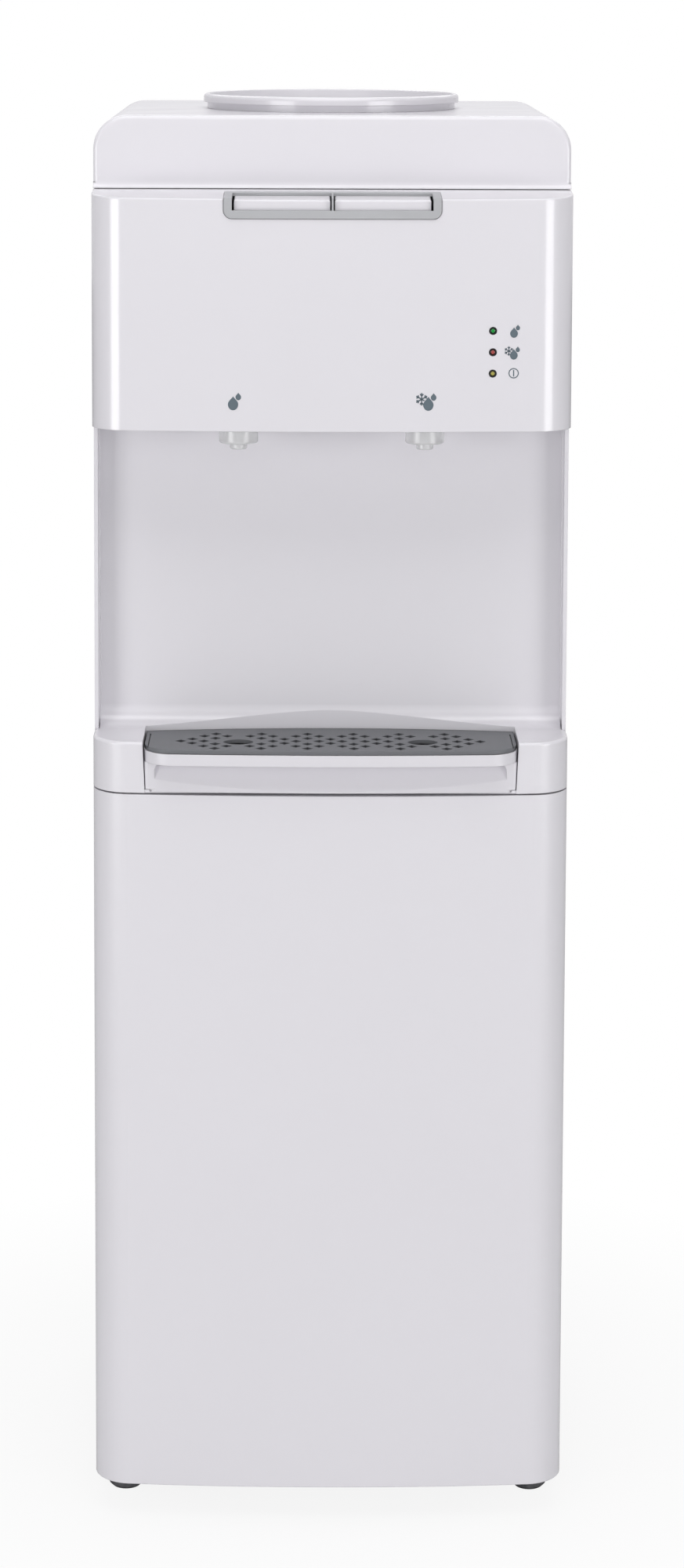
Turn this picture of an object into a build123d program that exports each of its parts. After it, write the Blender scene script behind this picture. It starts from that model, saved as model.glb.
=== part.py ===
from build123d import *
import os
from math import atan2, cos, hypot, pi, radians, sin, sqrt, tan

os.makedirs("parts", exist_ok=True)

# Free-standing top-loading water cooler. Millimetres, +Z up, -Y is the front.
# The origin is on the floor, under the middle of the cabinet.

# ---- Cabinet outline in plan
width = 310.0  # across the side panels
half_w = width / 2
side_front_y = -127.0  # where the straight sides end and the front corner rounds begin
bow_depth = 30.0  # how far the bowed front stands ahead of that line
front_y = side_front_y - bow_depth
corner_r = 25.0  # front corner rounds
back_y = 153.0  # outer face of the back panel and of the hood
return_y = side_front_y + 15.0  # front edge of the side panels, where the front mouldings end

# ---- Feet
foot_h = 22.0
foot_r = 11.5
foot_stud_r = 4.0
foot_stud_h = 8.0
foot_round = 2.0  # rounded lower edge
foot_neck_h = 4.5  # narrower neck at the top
foot_neck_in = 1.5
foot_x = half_w - 19.0
foot_rows = {"front_feet": side_front_y + 25.0, "rear_feet": back_y - 28.0}

# ---- Heights
lower_panel_h = 465.5
shoulder_h = 34.5  # height of the two shoulders beside the drip tray
niche_h = 203.0  # from the shoulders to the control panel
panel_h = 153.0  # control panel
hood_h = 47.0
collar_h = 10.0
lower_panel_top_z = foot_h + lower_panel_h
shoulder_z = lower_panel_top_z + shoulder_h
panel_low_z = shoulder_z + niche_h
hood_low_z = panel_low_z + panel_h
top_z = hood_low_z + hood_h
collar_top_z = top_z + collar_h

# ---- Walls and clearances
moulding_t = 2.5  # plastic mouldings
sheet_t = 1.2  # steel sheet
seam = 0.5  # half of the open joint between two mouldings
fit = 0.3  # clearance between pieces that slip past each other
shaft_gap = 0.05  # radial clearance of a pin or shaft
hem_w = 2.6  # folded front edge of a side panel
flange_w = 12.0  # rear flange of a side panel
pan_t = 2.0  # base pan
pan_rim_h = 16.0
lip_w = 15.0  # inward lips of the lower front panel

# ---- Niche
niche_depth = 30.0  # from the line where the sides end
niche_y = side_front_y + niche_depth
niche_fillet_r = 13.0  # round at the foot of the niche wall
niche_wall_top_z = panel_low_z + 13.0
ceiling_z = panel_low_z + 2.0  # underside of the niche ceiling
shoulder_edge_r = 2.0

# ---- Control panel ledge
ledge_back_y = side_front_y + 14.0
ledge_back_z = hood_low_z - seam
ledge_fall = 4.8  # degrees that the ledge falls towards the front
ledge_tongue_y = ledge_back_y + 5.5  # how far the ledge runs back under the hood
ledge_edge_r = 1.0

# ---- Hood and collar
hood_face_y = side_front_y + 18.0
hood_round_r = 22.0  # long upper corners
hood_edge_r = 3.0  # front and back edges of the top
hood_foot_r = 4.0  # hollow round where the hood meets the ledge
axis_y = 20.0  # bottle, seat and tank share this axis
collar_r = 87.0  # lip of the collar
collar_neck_r = collar_r - 2.5
collar_hole_r = collar_r - 5.0  # hole in the hood
collar_lip_h = 5.5
collar_lip_round = 2.6
collar_mouth_round = 1.0
collar_skirt_h = 20.0  # skirt below the hood's top
collar_skirt_z = top_z - collar_skirt_h
collar_mouth_r = collar_r - 4.0
seat_ledge_r = collar_r - 16.0
seat_ledge_z = collar_skirt_z + 3.0
seat_ledge_t = 2.0

# ---- Bottle seat
seat_flange_r = seat_ledge_r + 7.6
seat_cone_r = seat_ledge_r - 2.0
seat_well_r = 31.0
seat_cone_h = 22.0
seat_well_h = 18.0
spout_h = 10.0
probe_h = 41.0  # probe above the well's floor
seat_cone_low_z = seat_ledge_z - seat_cone_h
seat_floor_z = seat_cone_low_z - seat_well_h
seat_t = 2.2
probe_r = 9.0
probe_bore_r = probe_r - 2.5
probe_top_z = seat_floor_z + probe_h
spout_r = 12.0
spout_low_z = seat_floor_z - spout_h
probe_slot_w = 5.0
probe_slot_h = 14.0
probe_slot_down = 14.0  # top of the slots below the probe's tip

# ---- Drip tray and grille
shoulder_w = 33.8  # shoulder beside the tray
tray_half_w = half_w - shoulder_w
tray_foot_half_w = tray_half_w - 1.3  # the sides lean in towards the foot
tray_stand = 10.0  # lip ahead of the bowed front
tray_round_r = 20.0
tray_back_y = niche_y - 10.0  # back corners
tray_arch = 9.0  # how far the back edge arches towards the niche wall
tray_gap = 0.5
grille_sunk = 2.5  # grille below the shoulders
grille_top_z = shoulder_z - grille_sunk
grille_t = 2.6
tray_lip_h = 10.5
tray_lip_z = grille_top_z - tray_lip_h  # underside of the lip
tray_low_gap = 1.8  # foot of the tray above the lower panel
tray_low_z = lower_panel_top_z + tray_low_gap
tray_t = 2.2
tray_shelf_t = 2.2  # floor of the pocket in the bay
apron_top_y = front_y + 10.0  # finger recess: depth at its top
apron_front_y = front_y + 0.5
apron_land = 0.5  # the slant would end this far ahead of the bowed foot
apron_back_y = front_y + 4.5
recess_half_w = tray_half_w - 7.2
recess_corner_r = 6.0
basin_front_y = front_y + 12.5
basin_step_z = grille_top_z - 8.0

# ---- Grille pattern
hole_pitch = 7.5
hole_diagonal = 7.6
hole_row_y = front_y + 19.5
near_row = 6.0
mid_row = 8.2
far_row = 14.5
end_row = 21.0
grille_margin = 20.0  # left free of holes at both ends
last_column = int((tray_half_w - grille_margin) / hole_pitch)
cup_column = 8  # the large opening under each nozzle
eye_w = 20.0
eye_d = 15.0
eye_y = front_y + 17.0  # under the nozzles
groove_in = 3.2
groove_w = 0.7
groove_d = 0.9
rib_t = 1.6
rib_drop = 4.0

# ---- Buttons
bezel_half_w = 69.3
bezel_low_z = hood_low_z - 16.5
bezel_corner_r = 5.3
bezel_band = 5.2
bezel_back_y = front_y + 30.0
bezel_strip = 7.5
bezel_proud = 0.8
bezel_t = 2.1  # wall of the bezel, its proud part included
bezel_rib_w = 1.2
key_gap = 1.3  # between a key and the bezel's sides
key_recess = 2.8  # key front behind the panel's front
key_sunk = 0.8  # key top below the ledge
key_inner_x = 1.5
key_skirt_z = bezel_low_z + 1.0
key_t = 2.0
key_edge_r = 1.2
pin_r = 1.5
pin_y = ledge_back_y - 1.0
pin_z = key_skirt_z + 3.5
ear_t = 3.0
middle_ear_t = 2.4
pin_over = 1.0  # pin beyond the outer ears
ear_r = 5.0
arm_w = 4.0
arm_r = 4.2
cam_r = 3.0  # rounded nose under each key that pushes the valve stem
cam_drop = 0.5  # how far the nose reaches below the key's skirt

# ---- Taps
tap_x = 60.0
tap_y = eye_y
nozzle_drop = 13.0  # nozzle below the control panel
nozzle_low_z = panel_low_z - nozzle_drop
nozzle_r = 5.5
nozzle_bore_r = 3.6
nozzle_top_z = nozzle_low_z + 10.0
tap_collar_r = 12.6
tap_low_z = nozzle_low_z + 4.0
tap_barrel_r = 9.6
tap_h = 62.0
tap_top_z = tap_low_z + tap_h
tap_chamber_r = 7.0
tap_round = 1.5  # lower edge of the tap's collar
nozzle_tip_in = 0.6
nozzle_tip_h = 0.8
valve_seat_z = tap_low_z + 17.0
valve_seat_t = 3.0
valve_seat_r = 3.6
plug_r = 5.6
plug_h = 6.0
plug_bevel = 1.5
stem_r = 2.5
stem_pad_r = 4.0
spring_h = 22.0
spring_disc_z = tap_top_z + spring_h
spring_disc_r = 6.0
spring_disc_t = 2.0
spring_r = 4.2
spring_wire_r = 0.45
spring_turns = 6
inlet_z = tap_low_z + 41.0
inlet_r = 3.4
inlet_reach = 20.0
inlet_bore_r = 2.2
inlet_root = 1.0  # how far the inlet starts inside the barrel's wall
hose_r = 5.0
hose_bore_r = 3.5
hose_grip = 10.4  # straight length over an inlet or spigot
bracket_z = inlet_z + 7.0
bracket_t = 3.0
bracket_half_w = 82.0
bracket_depth = 22.0
bracket_leg_t = 3.0

# ---- Indicator lamps
lamp_x = 102.7
lamp_pitch = 13.7
lamp_low_z = panel_low_z + 37.6
lamp_heights = {
    "led_green": lamp_low_z + 2 * lamp_pitch,
    "led_red": lamp_low_z + lamp_pitch,
    "led_yellow": lamp_low_z,
}
lamp_ring_r = 2.55
lamp_bore_r = 1.95
lamp_r = 1.85
lamp_sunk = 0.7
lamp_flange_r = 3.8
board_y = front_y + 18.0
board_t = 1.6
board_w = 26.0
board_low_z = lamp_low_z - 12.6
board_high_z = lamp_low_z + 2 * lamp_pitch + 13.0
board_post_r = 3.0

# ---- Tank and insulation
tank_r = 75.0
tank_t = 1.0
tank_h = 148.0
lid_t = 3.0
tank_high_z = seat_cone_low_z - lid_t
tank_low_z = tank_high_z - tank_h
lid_over = 2.0  # lid beyond the tank's wall
lid_rim_t = 2.7  # ring that plugs into the tank
coil_tube_r = 3.0
coil_turns = 7
coil_pitch = 12.0
coil_low_z = tank_low_z + 32.0
coil_tail = 65.0
foam_inner_r = tank_r + 7.2
foam_outer_r = foam_inner_r + 16.8
foam_floor_t = 26.0
baffle_z = tank_high_z - 45.0
baffle_t = 2.0
baffle_gap = 1.5
baffle_holes_r = 4.0
leg_r = 2.5
leg_circle_r = tank_r - 15.0
baffle_circle_r = tank_r - 37.5
spigot_x = 25.0
spigot_r = 3.4
spigot_tip_y = niche_y + 9.0
cold_spigot_z = tank_low_z + 15.0
normal_spigot_z = tank_high_z - 17.0
drain_z = tank_low_z + 9.0
drain_r = 6.0
drain_bore_r = 4.6
drain_tip_y = back_y + 11.5
drain_socket = 6.0  # pipe's socket beyond the tank's wall
cap_r = 9.5
cap_depth = 12.0
cap_wall = 2.5
cap_ribs = 12
cap_flute_r = 0.9

# ---- Back panel and its fittings
back_low_z = foot_h + 208.0
screw_r = 2.0
screw_head_r = 4.2
screw_head_h = 2.2
screw_in = 7.5  # screws from the panel's side edges
screw_x = half_w - screw_in
vent_w = 46.0
vent_h = 4.0
vent_pitch = 9.0
vent_rows = 4
vent_low_z = hood_low_z - 40.0
vent_x = 35.0
switch_x = 50.0 - half_w
switch_z = hood_low_z - 78.0
switch_w = 21.0
switch_h = 28.0
switch_bezel = 2.5
switch_bezel_t = 2.0
switch_deep = 24.0
switch_wall = 1.8
switch_pocket = 9.0
switch_round = 2.0
rocker_rest_deg = 8.0
rocker_axis_y = back_y - 3.0
rocker_swing_gap = 1.2
rocker_low = 3.0  # behind the axis
rocker_horn = 5.5  # ahead of the axis at both ends
rocker_dip = 3.6  # ahead of the axis in the middle
trunnion_r = 1.2
trunnion_reach = 1.0
gland_x = 25.0 - half_w
gland_z = back_low_z + 17.0
gland_r = 9.0
gland_hole_r = 6.5
gland_bore_r = 3.8
gland_flange_t = 3.0
gland_nut_in = 1.0  # inner flange, smaller in radius
gland_bevel = 1.0

# ---- Cooling circuit
pot_x = 0.0
pot_y = back_y - 91.0
pot_r = 62.0
pot_plate_z = foot_h + 16.0
pot_plate_t = 3.0
pot_low_z = pot_plate_z + pot_plate_t + 3.0  # underside of the pot's lower shell, for its weld and starter
pot_h = 146.0
pot_high_z = pot_low_z + pot_h
pot_dome_r = 28.0
pot_weld_r = 3.0  # raised weld round the middle
pot_weld_h = 4.0
pot_root = 1.0  # how far the pot stands in its base plate
stub_wall = 1.5
pot_plate_w = 156.0
pot_plate_d = 116.0
mount_in = 12.0  # mounts from the plate's edges
mount_x = pot_plate_w / 2 - mount_in
mount_dy = pot_plate_d / 2 - mount_in
mount_r = 10.0
mount_top_t = 3.0  # rubber above the base plate
bolt_r = 3.0
bolt_head_r = 5.5
bolt_head_h = 4.0
starter_w = 46.0
starter_h = 50.0
starter_round = 3.0
starter_d = 30.0
tube_r = 2.4
fin_y = back_y + 8.0
fin_half_w = half_w - 36.0
fin_pitch = 50.0
fin_passes = 11
fin_bend_r = 24.0
riser_bend_r = 12.0
rear_bend_r = 8.0
neck_bend_r = 7.0
long_bend_r = 20.0
stub_bend_r = 10.0
suction_bend_r = 14.0
riser_x = half_w - 21.0
wire_r = 0.8
wire_pitch = 6.5
wire_over = 10.0
wire_span = 74.0
clip_x = 84.0
clip_w = 12.0
clip_h = 14.0
clip_cover = 1.6  # clip beyond the tube
clip_passes = (1, 7)  # the passes that the clips hold
drier_r = 9.0
drier_x = 37.0 - half_w
drier_y = back_y - 33.0
drier_low_z = foot_h + 33.0
drier_high_z = drier_low_z + 42.0
fin_rise = 23.0  # lowest pass of the condenser above the drier
fin_top_z = drier_high_z + fin_rise + (fin_passes - 1) * fin_pitch
drier_neck = 6.0
mount_neck_r = 6.0
discharge_x = 30.0
discharge_z = pot_low_z + 44.0
suction_stub_x = -30.0
suction_stub_z = pot_low_z + 56.0
stub_y = back_y - 21.0
suction_r = 3.2
grommet_gap = 2.0  # round the pipes where they pass the tank's shelf
suction_y = axis_y + 80.0
suction_low_z = pot_low_z + 106.0
suction_turn_y = back_y - 5.0
capillary_r = 1.2
capillary_y = axis_y - 90.0
capillary_low_z = foot_h + 11.0
capillary_cross_z = tank_low_z - 45.0

# ---- Thermostat
thermostat_x = 104.0
thermostat_z = hood_low_z - 18.0
thermostat_w = 34.0
thermostat_d = 26.0
thermostat_h = 24.0
thermostat_round = 3.0
bulb_r = 3.0
bulb_reach = 20.0
feeler_r = 1.2

# ---- Worked out from the above
corner_x = half_w - corner_r
bow_r = (corner_x**2 + bow_depth**2 - corner_r**2) / (2 * (bow_depth - corner_r))
inner_x = half_w - sheet_t - fit  # reach of mouldings inside the side panels
throat_x = half_w - hem_w - fit  # reach of mouldings past the hems
bay_low_z = lower_panel_top_z + 2 * seam
pocket_floor_z = bay_low_z + tray_shelf_t
tray_floor_z = pocket_floor_z + fit
tray_rim_z = grille_top_z - grille_t
ledge_plane = Plane(
    origin=(0, ledge_back_y, ledge_back_z),
    x_dir=(1, 0, 0),
    z_dir=(0, -sin(radians(ledge_fall)), cos(radians(ledge_fall))),
)
build_low_z = foot_h
reach = 2 * width  # longer than any cut needs
coil_r = tank_r + coil_tube_r + fit
coil_high_z = coil_low_z + coil_turns * coil_pitch
thermostat_y = back_y - sheet_t - thermostat_d


def ledge_height(y):
    return ledge_back_z - (ledge_back_y - y) * tan(radians(ledge_fall))


def bow_front(x, inset=0.0):
    """Y of the bowed front at x."""
    return front_y + bow_r - sqrt((bow_r - inset) ** 2 - x**2)


def bowed_plan(half, nose, arc_r, round_r, back, arch=0.0):
    """Plan outline with a bowed front between two corner rounds, and a straight or arched back."""
    round_x = half - round_r
    round_y = nose + arc_r - sqrt((arc_r - round_r) ** 2 - round_x**2)
    lean = atan2(round_x, nose + arc_r - round_y)
    half_turn = (lean + pi / 2) / 2
    middle = (round_x + round_r * sin(half_turn), round_y - round_r * cos(half_turn))
    tangent = (round_x + round_r * sin(lean), round_y - round_r * cos(lean))
    with BuildLine() as outline:
        Line((half, round_y), (half, back))
        if arch:
            ThreePointArc((half, back), (0, back + arch), (-half, back))
        else:
            Line((half, back), (-half, back))
        Line((-half, back), (-half, round_y))
        ThreePointArc((-half, round_y), (-middle[0], middle[1]), (-tangent[0], tangent[1]))
        ThreePointArc((-tangent[0], tangent[1]), (0, nose), tangent)
        ThreePointArc(tangent, middle, (half, round_y))
    return outline.line


def cabinet_plan(inset, back):
    """Plan outline of the cabinet's bowed front, set in by inset and closed at back."""
    return bowed_plan(half_w - inset, front_y + inset, bow_r - inset, corner_r - inset, back)


def tray_plan(inset, arch=tray_arch):
    """Plan outline of the drip tray, set in by inset."""
    return bowed_plan(
        tray_half_w - inset,
        front_y - tray_stand + inset,
        bow_r + tray_stand - inset,
        tray_round_r - inset,
        tray_back_y - inset,
        arch,
    )


def box_sketch(x0, x1, y0, y1):
    """Rectangle between two corners, in the sketch that is open."""
    with Locations(((x0 + x1) / 2, (y0 + y1) / 2)):
        Rectangle(x1 - x0, y1 - y0)


def coil_arcs(radius, pitch, turns, x, y, z):
    """Half-turn arcs that climb half a pitch each and meet in line."""
    rise = pitch / 2
    with BuildLine() as line:
        for i in range(2 * turns):
            side = 1 if i % 2 == 0 else -1
            low = z + i * rise
            ThreePointArc(
                (x + side * radius, y, low),
                (x, y + side * hypot(radius, rise / 2), low + rise / 2),
                (x - side * radius, y, low + rise),
            )
    return line.line


def save(part, name):
    part.label = name
    export_step(part, f"parts/{name}.step")


# ---------------------------------------------------------------- casing


def make_base_pan():
    with BuildPart() as base_pan:
        with BuildSketch(Plane.XY.offset(build_low_z)):
            make_face(cabinet_plan(moulding_t + fit, return_y))
            box_sketch(-throat_x, throat_x, return_y - corner_r / 2, back_y - 2 * sheet_t - fit)
        extrude(amount=pan_t)
        with BuildSketch(Plane.XY.offset(build_low_z)):
            for side in (-1, 1):
                with Locations((side * (throat_x - sheet_t / 2), (return_y + back_y) / 2)):
                    Rectangle(sheet_t, back_y - return_y - 2 * pan_rim_h)
        extrude(amount=pan_rim_h)
        with BuildSketch(Plane.XY.offset(build_low_z)):
            with Locations(*foot_places()):
                Circle(foot_stud_r + fit)
        extrude(amount=foot_h, mode=Mode.SUBTRACT)
    save(base_pan.part, "base_pan")


def foot_places():
    return [(side * foot_x, y) for y in foot_rows.values() for side in (-1, 1)]


def make_feet():
    for name, y in foot_rows.items():
        with BuildPart() as feet:
            for side in (-1, 1):
                with BuildSketch(Plane.XZ.offset(-y)):
                    with BuildLine():
                        Polyline(
                            (side * foot_x, 0),
                            (side * foot_x + foot_r - foot_round, 0),
                            (side * foot_x + foot_r, foot_round),
                            (side * foot_x + foot_r, foot_h - foot_neck_h - foot_neck_in),
                            (side * foot_x + foot_r - foot_neck_in, foot_h - foot_neck_h),
                            (side * foot_x + foot_r - foot_neck_in, foot_h),
                            (side * foot_x + foot_stud_r, foot_h),
                            (side * foot_x + foot_stud_r, foot_h + foot_stud_h),
                            (side * foot_x, foot_h + foot_stud_h),
                            close=True,
                        )
                    make_face()
                revolve(axis=Axis((side * foot_x, y, 0), (0, 0, 1)))
        save(feet.part, name)


def make_side_panels():
    for name, side in (("side_panel_left", -1), ("side_panel_right", 1)):
        with BuildPart() as side_panel:
            with BuildSketch(Plane.XY.offset(build_low_z)):
                outer = side * half_w
                inner = side * (half_w - sheet_t)
                box_sketch(min(outer, inner), max(outer, inner), return_y, back_y)
                hem = side * (half_w - hem_w)
                box_sketch(min(outer, hem), max(outer, hem), return_y, return_y + sheet_t)
                flange = side * (half_w - flange_w)
                rear = back_y - sheet_t
                box_sketch(min(outer, flange), max(outer, flange), rear - sheet_t, rear)
                box_sketch(min(outer, inner), max(outer, inner), rear - sheet_t, back_y)
            extrude(amount=hood_low_z - 2 * seam - build_low_z)
            with BuildSketch(Plane.XZ.offset(-back_y)):
                with Locations(*[(side * screw_x, z) for z in screw_rows()]):
                    Circle(screw_r + shaft_gap)
            extrude(amount=4 * sheet_t, mode=Mode.SUBTRACT)
        save(side_panel.part, name)


def screw_rows():
    rows = 4
    low = back_low_z + 2 * flange_w
    high = hood_low_z - 2 * flange_w
    return [low + i * (high - low) / (rows - 1) for i in range(rows)]


def make_back_panel():
    with BuildPart() as back_panel:
        with BuildSketch(Plane.XZ.offset(-back_y)):
            high = hood_low_z - 2 * seam
            box_sketch(-half_w + sheet_t + fit, half_w - sheet_t - fit, back_low_z, high)
        extrude(amount=sheet_t)
        with BuildSketch(Plane.XZ.offset(-back_y)):
            with Locations(*[(s * screw_x, z) for z in screw_rows() for s in (-1, 1)]):
                Circle(screw_r + shaft_gap)
            with Locations((0, drain_z)):
                Circle(drain_r + fit)
            with Locations((gland_x, gland_z)):
                Circle(gland_hole_r + shaft_gap)
            with Locations((switch_x, switch_z)):
                Rectangle(switch_w + 2 * fit, switch_h + 2 * fit)
            for row in range(vent_rows):
                with Locations(*[(s * vent_x, vent_low_z + row * vent_pitch) for s in (-1, 1)]):
                    SlotOverall(vent_w, vent_h)
        extrude(amount=3 * sheet_t, mode=Mode.SUBTRACT)
    save(back_panel.part, "back_panel")


def make_panel_screws():
    with BuildPart() as panel_screws:
        with BuildSketch(Plane.XZ.offset(-back_y)):
            with Locations(*[(s * screw_x, z) for z in screw_rows() for s in (-1, 1)]):
                Circle(screw_r)
        extrude(amount=7 * sheet_t)
        with BuildSketch(Plane.XZ.offset(-back_y)):
            with Locations(*[(s * screw_x, z) for z in screw_rows() for s in (-1, 1)]):
                Circle(screw_head_r)
        extrude(amount=-screw_head_h)
        fillet(panel_screws.faces().sort_by(Axis.Y)[-8:].edges(), screw_head_h / 2)
    save(panel_screws.part, "panel_screws")


def make_lower_front_panel():
    with BuildPart() as lower_front_panel:
        with BuildSketch(Plane.XY.offset(build_low_z)):
            make_face(cabinet_plan(0, return_y - seam))
            make_face(cabinet_plan(moulding_t, return_y), mode=Mode.SUBTRACT)
        extrude(amount=lower_panel_top_z - build_low_z)
        for z in (build_low_z + pan_rim_h, lower_panel_top_z - moulding_t):
            with BuildSketch(Plane.XY.offset(z)):
                make_face(cabinet_plan(moulding_t / 2, return_y - seam))
                make_face(cabinet_plan(moulding_t + lip_w, return_y), mode=Mode.SUBTRACT)
            extrude(amount=moulding_t)
    save(lower_front_panel.part, "lower_front_panel")


def lean_plane(side, gap):
    """Leaning side of the tray, set outwards by gap. Its normal points away from the tray."""
    run = tray_half_w - tray_foot_half_w
    rise = grille_top_z - tray_low_z
    return Plane(
        origin=(side * (tray_half_w + gap), 0, grille_top_z),
        x_dir=(0, 1, 0),
        z_dir=(side * rise, 0, -run),
    )


def pocket_volume(gap, low, high):
    """The space of the tray with gap all round it, open to the front."""
    with BuildPart() as volume:
        with BuildSketch(Plane.XY.offset(low)):
            make_face(tray_plan(-gap))
            side_x = tray_half_w + gap
            box_sketch(-side_x, side_x, front_y - 2 * tray_stand, tray_back_y - tray_round_r)
        extrude(amount=high - low)
        for side in (-1, 1):
            split(bisect_by=lean_plane(side, gap), keep=Keep.BOTTOM)
    return volume.part


def make_dispensing_bay():
    rear = niche_y + moulding_t
    with BuildPart() as shoulder_core:
        with BuildSketch(Plane.XY.offset(bay_low_z)):
            make_face(cabinet_plan(moulding_t, return_y - seam))
            inner = throat_x - moulding_t
            box_sketch(-inner, inner, return_y - corner_r / 2, niche_y)
        extrude(amount=shoulder_z - moulding_t - bay_low_z)
        add(pocket_volume(tray_gap + moulding_t, bay_low_z, shoulder_z), mode=Mode.SUBTRACT)
    with BuildPart() as apron_slot:
        add(pocket_volume(tray_gap, bay_low_z - fit, pocket_floor_z + fit))
        split(bisect_by=Plane.XZ.offset(-apron_back_y - fit), keep=Keep.TOP)
    with BuildPart() as dispensing_bay:
        with BuildSketch(Plane.XY.offset(bay_low_z)):
            make_face(cabinet_plan(0, return_y - seam))
            box_sketch(-throat_x, throat_x, return_y - corner_r / 2, rear)
        extrude(amount=shoulder_z - bay_low_z)
        rim = [
            edge
            for edge in dispensing_bay.edges().group_by(Axis.Z)[-1]
            if edge.center().Y < side_front_y + corner_r / 4
        ]
        fillet(rim, shoulder_edge_r)
        with BuildSketch(Plane.XY.offset(bay_low_z)):
            box_sketch(-throat_x, throat_x, niche_y, rear)
        extrude(amount=niche_wall_top_z - bay_low_z)
        foot = [
            edge
            for edge in dispensing_bay.edges().filter_by(Axis.X)
            if abs(edge.center().Y - niche_y) < fit and abs(edge.center().Z - shoulder_z) < fit
        ]
        fillet(foot, niche_fillet_r)
        add(shoulder_core.part, mode=Mode.SUBTRACT)
        cleared_z = shoulder_z + 2 * niche_fillet_r
        add(pocket_volume(tray_gap, pocket_floor_z, cleared_z), mode=Mode.SUBTRACT)
        add(apron_slot.part, mode=Mode.SUBTRACT)
    save(dispensing_bay.part, "dispensing_bay")


def skin_volume(inset, sunk, low, back):
    """The control panel's outer form, its front set in and its ledge sunk, between low and back."""
    with BuildPart() as volume:
        with BuildSketch(Plane.XY.offset(low)):
            make_face(cabinet_plan(inset, niche_y))
        extrude(amount=top_z - low)
        split(bisect_by=ledge_plane.offset(-sunk), keep=Keep.BOTTOM)
        split(bisect_by=Plane.XZ.offset(-back), keep=Keep.TOP)
    return volume.part


def make_control_panel():
    with BuildPart() as control_panel:
        with BuildSketch(Plane.XY.offset(panel_low_z)):
            make_face(cabinet_plan(0, return_y - seam))
            box_sketch(-throat_x, throat_x, return_y - corner_r / 2, ledge_tongue_y)
        extrude(amount=top_z - panel_low_z)
        split(bisect_by=ledge_plane, keep=Keep.BOTTOM)
        rim = [
            edge
            for edge in control_panel.faces().sort_by(Axis.Z)[-1].edges()
            if edge.center().Y < side_front_y + corner_r / 4
        ]
        fillet(rim, ledge_edge_r)
        hollow = skin_volume(moulding_t, moulding_t, panel_low_z - fit, niche_y)
        add(hollow, mode=Mode.SUBTRACT)
        with BuildSketch(Plane.XY.offset(ceiling_z)):
            make_face(cabinet_plan(moulding_t / 2, return_y - seam))
            box_sketch(-throat_x, throat_x, return_y - corner_r / 2, niche_y - seam)
            with Locations((-tap_x, tap_y), (tap_x, tap_y)):
                Circle(tap_barrel_r + fit, mode=Mode.SUBTRACT)
        extrude(amount=moulding_t)
        with BuildSketch(Plane.XZ.offset(-bezel_back_y - fit)):
            gap = fit
            high = top_z
            with Locations((0, (bezel_low_z - gap + high) / 2)):
                RectangleRounded(
                    2 * (bezel_half_w + gap), high - bezel_low_z + gap, bezel_corner_r + gap
                )
        extrude(amount=reach, mode=Mode.SUBTRACT)
        for z in lamp_heights.values():
            with BuildSketch(Plane.XZ.offset(-board_y)):
                with Locations((lamp_x, z)):
                    Circle(lamp_ring_r + shaft_gap)
            extrude(amount=reach, mode=Mode.SUBTRACT)
        for z in board_post_heights():
            with BuildSketch(Plane.XZ.offset(-board_y)):
                with Locations((board_post_x(), z)):
                    Circle(board_post_r)
            extrude(amount=board_y - bow_front(board_post_x(), moulding_t) + fit)
    save(control_panel.part, "control_panel")


def board_post_heights():
    return (board_low_z + 2 * board_post_r, board_high_z - 2 * board_post_r)


def board_post_x():
    return lamp_x + board_w / 2 - 2 * board_post_r


def hood_volume(inset):
    with BuildPart() as volume:
        with BuildSketch(Plane.XZ.offset(-back_y + inset)):
            box_sketch(-half_w + inset, half_w - inset, hood_low_z, top_z - inset)
        extrude(amount=back_y - hood_face_y - 2 * inset)
        long_edges = volume.edges().filter_by(Axis.Y).group_by(Axis.Z)[-1]
        fillet(long_edges, hood_round_r - inset)
        if hood_edge_r > inset:
            ends = [
                edge
                for face in (volume.faces().sort_by(Axis.Y)[0], volume.faces().sort_by(Axis.Y)[-1])
                for edge in face.edges()
                if edge.center().Z > hood_low_z + fit
            ]
            fillet(ends, hood_edge_r - inset)
    return volume.part


def make_top_hood():
    with BuildPart() as top_hood:
        add(hood_volume(0))
        add(hood_volume(moulding_t), mode=Mode.SUBTRACT)
        with BuildSketch(Plane.YZ.offset(-half_w)):
            with BuildLine():
                Line((hood_face_y, hood_low_z), (hood_face_y, hood_low_z + hood_foot_r))
                RadiusArc(
                    (hood_face_y, hood_low_z + hood_foot_r),
                    (hood_face_y - hood_foot_r, hood_low_z),
                    hood_foot_r,
                )
                Line((hood_face_y - hood_foot_r, hood_low_z), (hood_face_y, hood_low_z))
            make_face()
        extrude(amount=width)
        with BuildSketch(Plane.XY.offset(hood_low_z)):
            with Locations((0, axis_y)):
                Circle(collar_hole_r + fit)
        extrude(amount=top_z, mode=Mode.SUBTRACT)
    save(top_hood.part, "top_hood")


def turned(points):
    """Solid turned about the bottle's axis from radius and height pairs."""
    with BuildPart() as turning:
        with BuildSketch(Plane.XZ.offset(-axis_y)):
            with BuildLine():
                Polyline(*points, close=True)
            make_face()
        revolve(axis=Axis((0, axis_y, 0), (0, 0, 1)))
    return turning.part


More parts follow.
